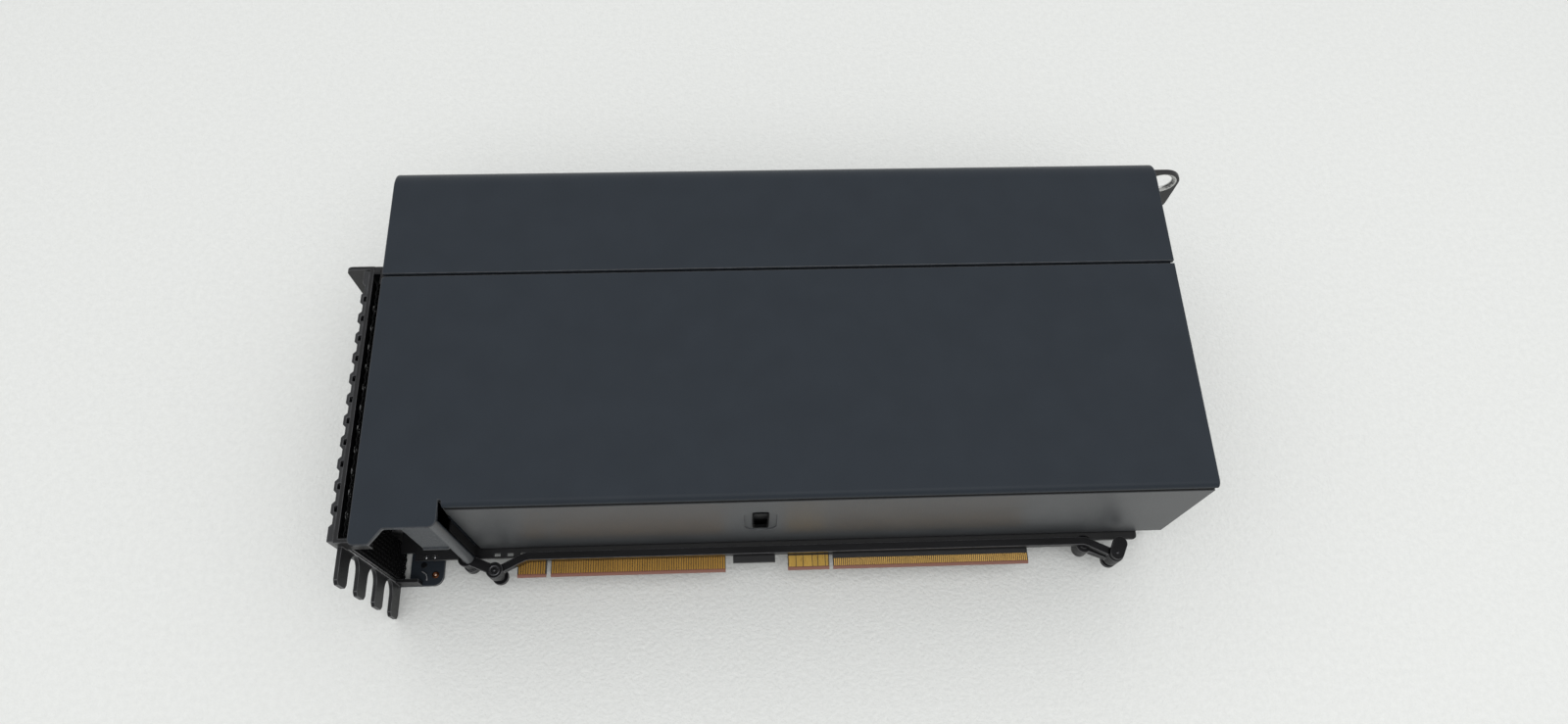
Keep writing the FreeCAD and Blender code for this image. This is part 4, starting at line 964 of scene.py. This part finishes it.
class CARD_OT_solder(bpy.types.Operator):
    """Adds the solder in the two small slots of the board"""

    bl_idname = "card.solder"
    bl_label = "Solder slugs"

    def execute(self, context):
        slot_y = -75.05
        stretch = 1.9
        profile = [(0, -0.6), (0.46, -0.6), (0.46, 0.02), (0.36, 0.12), (0.2, 0.17), (0, 0.18)]
        jobs = [(Vector((x, slot_y, BOARD_TOP_Z)), profile) for x in (-148.25, -144.75)]
        mesh = turned("solder_slugs", jobs)
        for vertex in mesh.vertices:
            vertex.co.y = slot_y * MM + (vertex.co.y - slot_y * MM) * stretch
        material = plated_steel("Tin solder, reflowed", context.scene.card_finish.steel)
        new_piece("solder_slugs", mesh, material, BODY)
        return {"FINISHED"}


class CARD_OT_cooler(bpy.types.Operator):
    """Finishes the vapour chamber, the fins, the brace and the hidden fasteners"""

    bl_idname = "card.cooler"
    bl_label = "Cooler and fasteners"

    def execute(self, context):
        finish = context.scene.card_finish
        screws = ["brace_screws", "board_screws", "ear_screws", "standoffs"]
        dress(["vapour_chamber"], worked_metal("Copper, rolled", finish.copper, 0.32, 1.0))
        # the fins are painted black as shade, so the deep window behind the wall reads dark
        dress(["fin_stack"], worked_metal("Aluminium, rolled, painted black as shade", finish.fins, 0.45, 0.0))
        dress(["processor_brace"], oxide_black_steel("Black oxide steel, blanked", finish.linkage))
        dress(screws, plated_steel("Plated steel, cold headed", finish.steel))
        soften(["vapour_chamber", "processor_brace"], context.scene.card_size.metal_edge)
        soften(["fin_stack"] + screws, 0)
        return {"FINISHED"}


class CARD_OT_linkage(bpy.types.Operator):
    """Finishes the ejector linkage and adds the ends of its pins"""

    bl_idname = "card.linkage"
    bl_label = "Ejector linkage"

    def execute(self, context):
        finish = context.scene.card_finish
        links = ["edge_rail", "rear_link", "front_link", "eject_bar", "drive_lug"]
        steel = oxide_black_steel("Black oxide steel, stamped", finish.linkage)
        dress(links, steel, rubbed_edge("Black oxide, rubbed", finish.wear_and_highlight))
        soften(links, context.scene.card_size.metal_edge)
        rear = Vector((REAR_JOINT.x, REAR_JOINT.y, high("rear_link").z))
        front = Vector((FRONT_JOINT.x, FRONT_JOINT.y, high("drive_lug").z))
        ring = [(1.5, -0.05), (2.3, -0.05), (2.3, 0.14), (2.15, 0.22), (1.65, 0.22), (1.5, 0.14)]
        bead = [(0, -0.05), (0.6, -0.05), (0.6, 0.1), (0.45, 0.18), (0.22, 0.22), (0, 0.23)]
        wear_and_highlight = plated_steel("Steel pin end, peened", finish.wear_and_highlight)
        rear_end = turned("rear_pin_end", [(rear, ring), (rear, bead)])
        front_end = turned("front_pin_end", [(front, bead)])
        new_piece("rear_pin_end", rear_end, wear_and_highlight, BAR)
        new_piece("front_pin_end", front_end, wear_and_highlight, BAR)
        return {"FINISHED"}


class CARD_OT_stage(bpy.types.Operator):
    """Makes the table, the camera and the light"""

    bl_idname = "card.stage"
    bl_label = "Stage"

    def execute(self, context):
        scene = context.scene
        stage = scene.card_stage
        half = stage.table_size / 2
        corners = [(-half, -half, 0), (half, -half, 0), (half, half, 0), (-half, half, 0)]
        mesh = bpy.data.meshes.new("table")
        mesh.from_pydata(corners, [], [(0, 1, 2, 3)])
        mesh.materials.append(table_top("Laminate table, matt", scene.card_finish.table))
        table = bpy.data.objects.new("table", mesh)
        scene.collection.objects.link(table)
        table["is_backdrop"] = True

        camera = bpy.data.objects.new("camera", bpy.data.cameras.new("camera"))
        scene.collection.objects.link(camera)
        camera.location = stage.camera_place
        camera.rotation_euler = stage.camera_turn
        camera.data.lens = stage.lens
        camera.data.sensor_width = 36
        scene.camera = camera

        lamp = bpy.data.objects.new("soft_lamp", bpy.data.lights.new("soft_lamp", "AREA"))
        scene.collection.objects.link(lamp)
        lamp.data.size = stage.lamp_size
        lamp.data.energy = stage.lamp_power
        lamp.location = stage.lamp_place
        lamp.rotation_euler = Vector(stage.lamp_place).to_track_quat("Z", "Y").to_euler()

        self.light_room(scene, stage.sky)
        scene.view_settings.view_transform = "Standard"
        return {"FINISHED"}

    def light_room(self, scene, strength):
        """A soft room that is brighter overhead and behind the module than in front of it."""
        brightest = (0.0, 0.4, 0.917)
        dim_share = 0.4
        world = bpy.data.worlds.new("soft_room")
        scene.world = world
        world.use_nodes = True
        tree = world.node_tree
        toward = add(tree, "ShaderNodeTexCoord").outputs["Generated"]
        lean = add(tree, "ShaderNodeVectorMath", {0: toward, 1: brightest}, operation="DOT_PRODUCT")
        level = add(tree, "ShaderNodeMapRange", {
            "Value": lean.outputs["Value"], "From Min": -0.2, "From Max": 0.8,
            "To Min": strength * dim_share, "To Max": strength,
        })
        tree.links.new(level.outputs[0], tree.nodes["Background"].inputs["Strength"])
        tree.nodes["Background"].inputs["Color"].default_value = linear("#FDFEFF")


# The panel and the run


STEPS = (
    CARD_OT_shells, CARD_OT_seals, CARD_OT_bracket, CARD_OT_screen, CARD_OT_foot_ridges,
    CARD_OT_foot_fittings, CARD_OT_board, CARD_OT_solder, CARD_OT_cooler, CARD_OT_linkage, CARD_OT_stage,
)
GROUPS = {"card_finish": CARD_PG_finish, "card_size": CARD_PG_size, "card_stage": CARD_PG_stage}


class CARD_PT_module(bpy.types.Panel):
    """Lists the steps and the settings of the module"""

    bl_label = "Card Module"
    bl_space_type = "VIEW_3D"
    bl_region_type = "UI"
    bl_category = "Card Module"

    def draw(self, context):
        for step in STEPS:
            self.layout.operator(step.bl_idname)
        for name, group in GROUPS.items():
            box = self.layout.box()
            for setting in group.__annotations__:
                box.prop(getattr(context.scene, name), setting)


CLASSES = tuple(GROUPS.values()) + STEPS + (CARD_PT_module,)


def register():
    for cls in CLASSES:
        bpy.utils.register_class(cls)
    for name, group in GROUPS.items():
        setattr(bpy.types.Scene, name, bpy.props.PointerProperty(type=group))


def unregister():
    for name in GROUPS:
        delattr(bpy.types.Scene, name)
    for cls in reversed(CLASSES):
        bpy.utils.unregister_class(cls)


def main():
    register()
    bpy.ops.card.shells()
    bpy.ops.card.seals()
    bpy.ops.card.bracket()
    bpy.ops.card.screen()
    bpy.ops.card.foot_ridges()
    bpy.ops.card.foot_fittings()
    bpy.ops.card.board()
    bpy.ops.card.solder()
    bpy.ops.card.cooler()
    bpy.ops.card.linkage()
    bpy.ops.card.stage()
    boxes = {"cad": CAD_BOX, "visual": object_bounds()}
    {name: [list(corner) for corner in box] for name, box in boxes.items()}


if __name__ == "__main__":
    main()
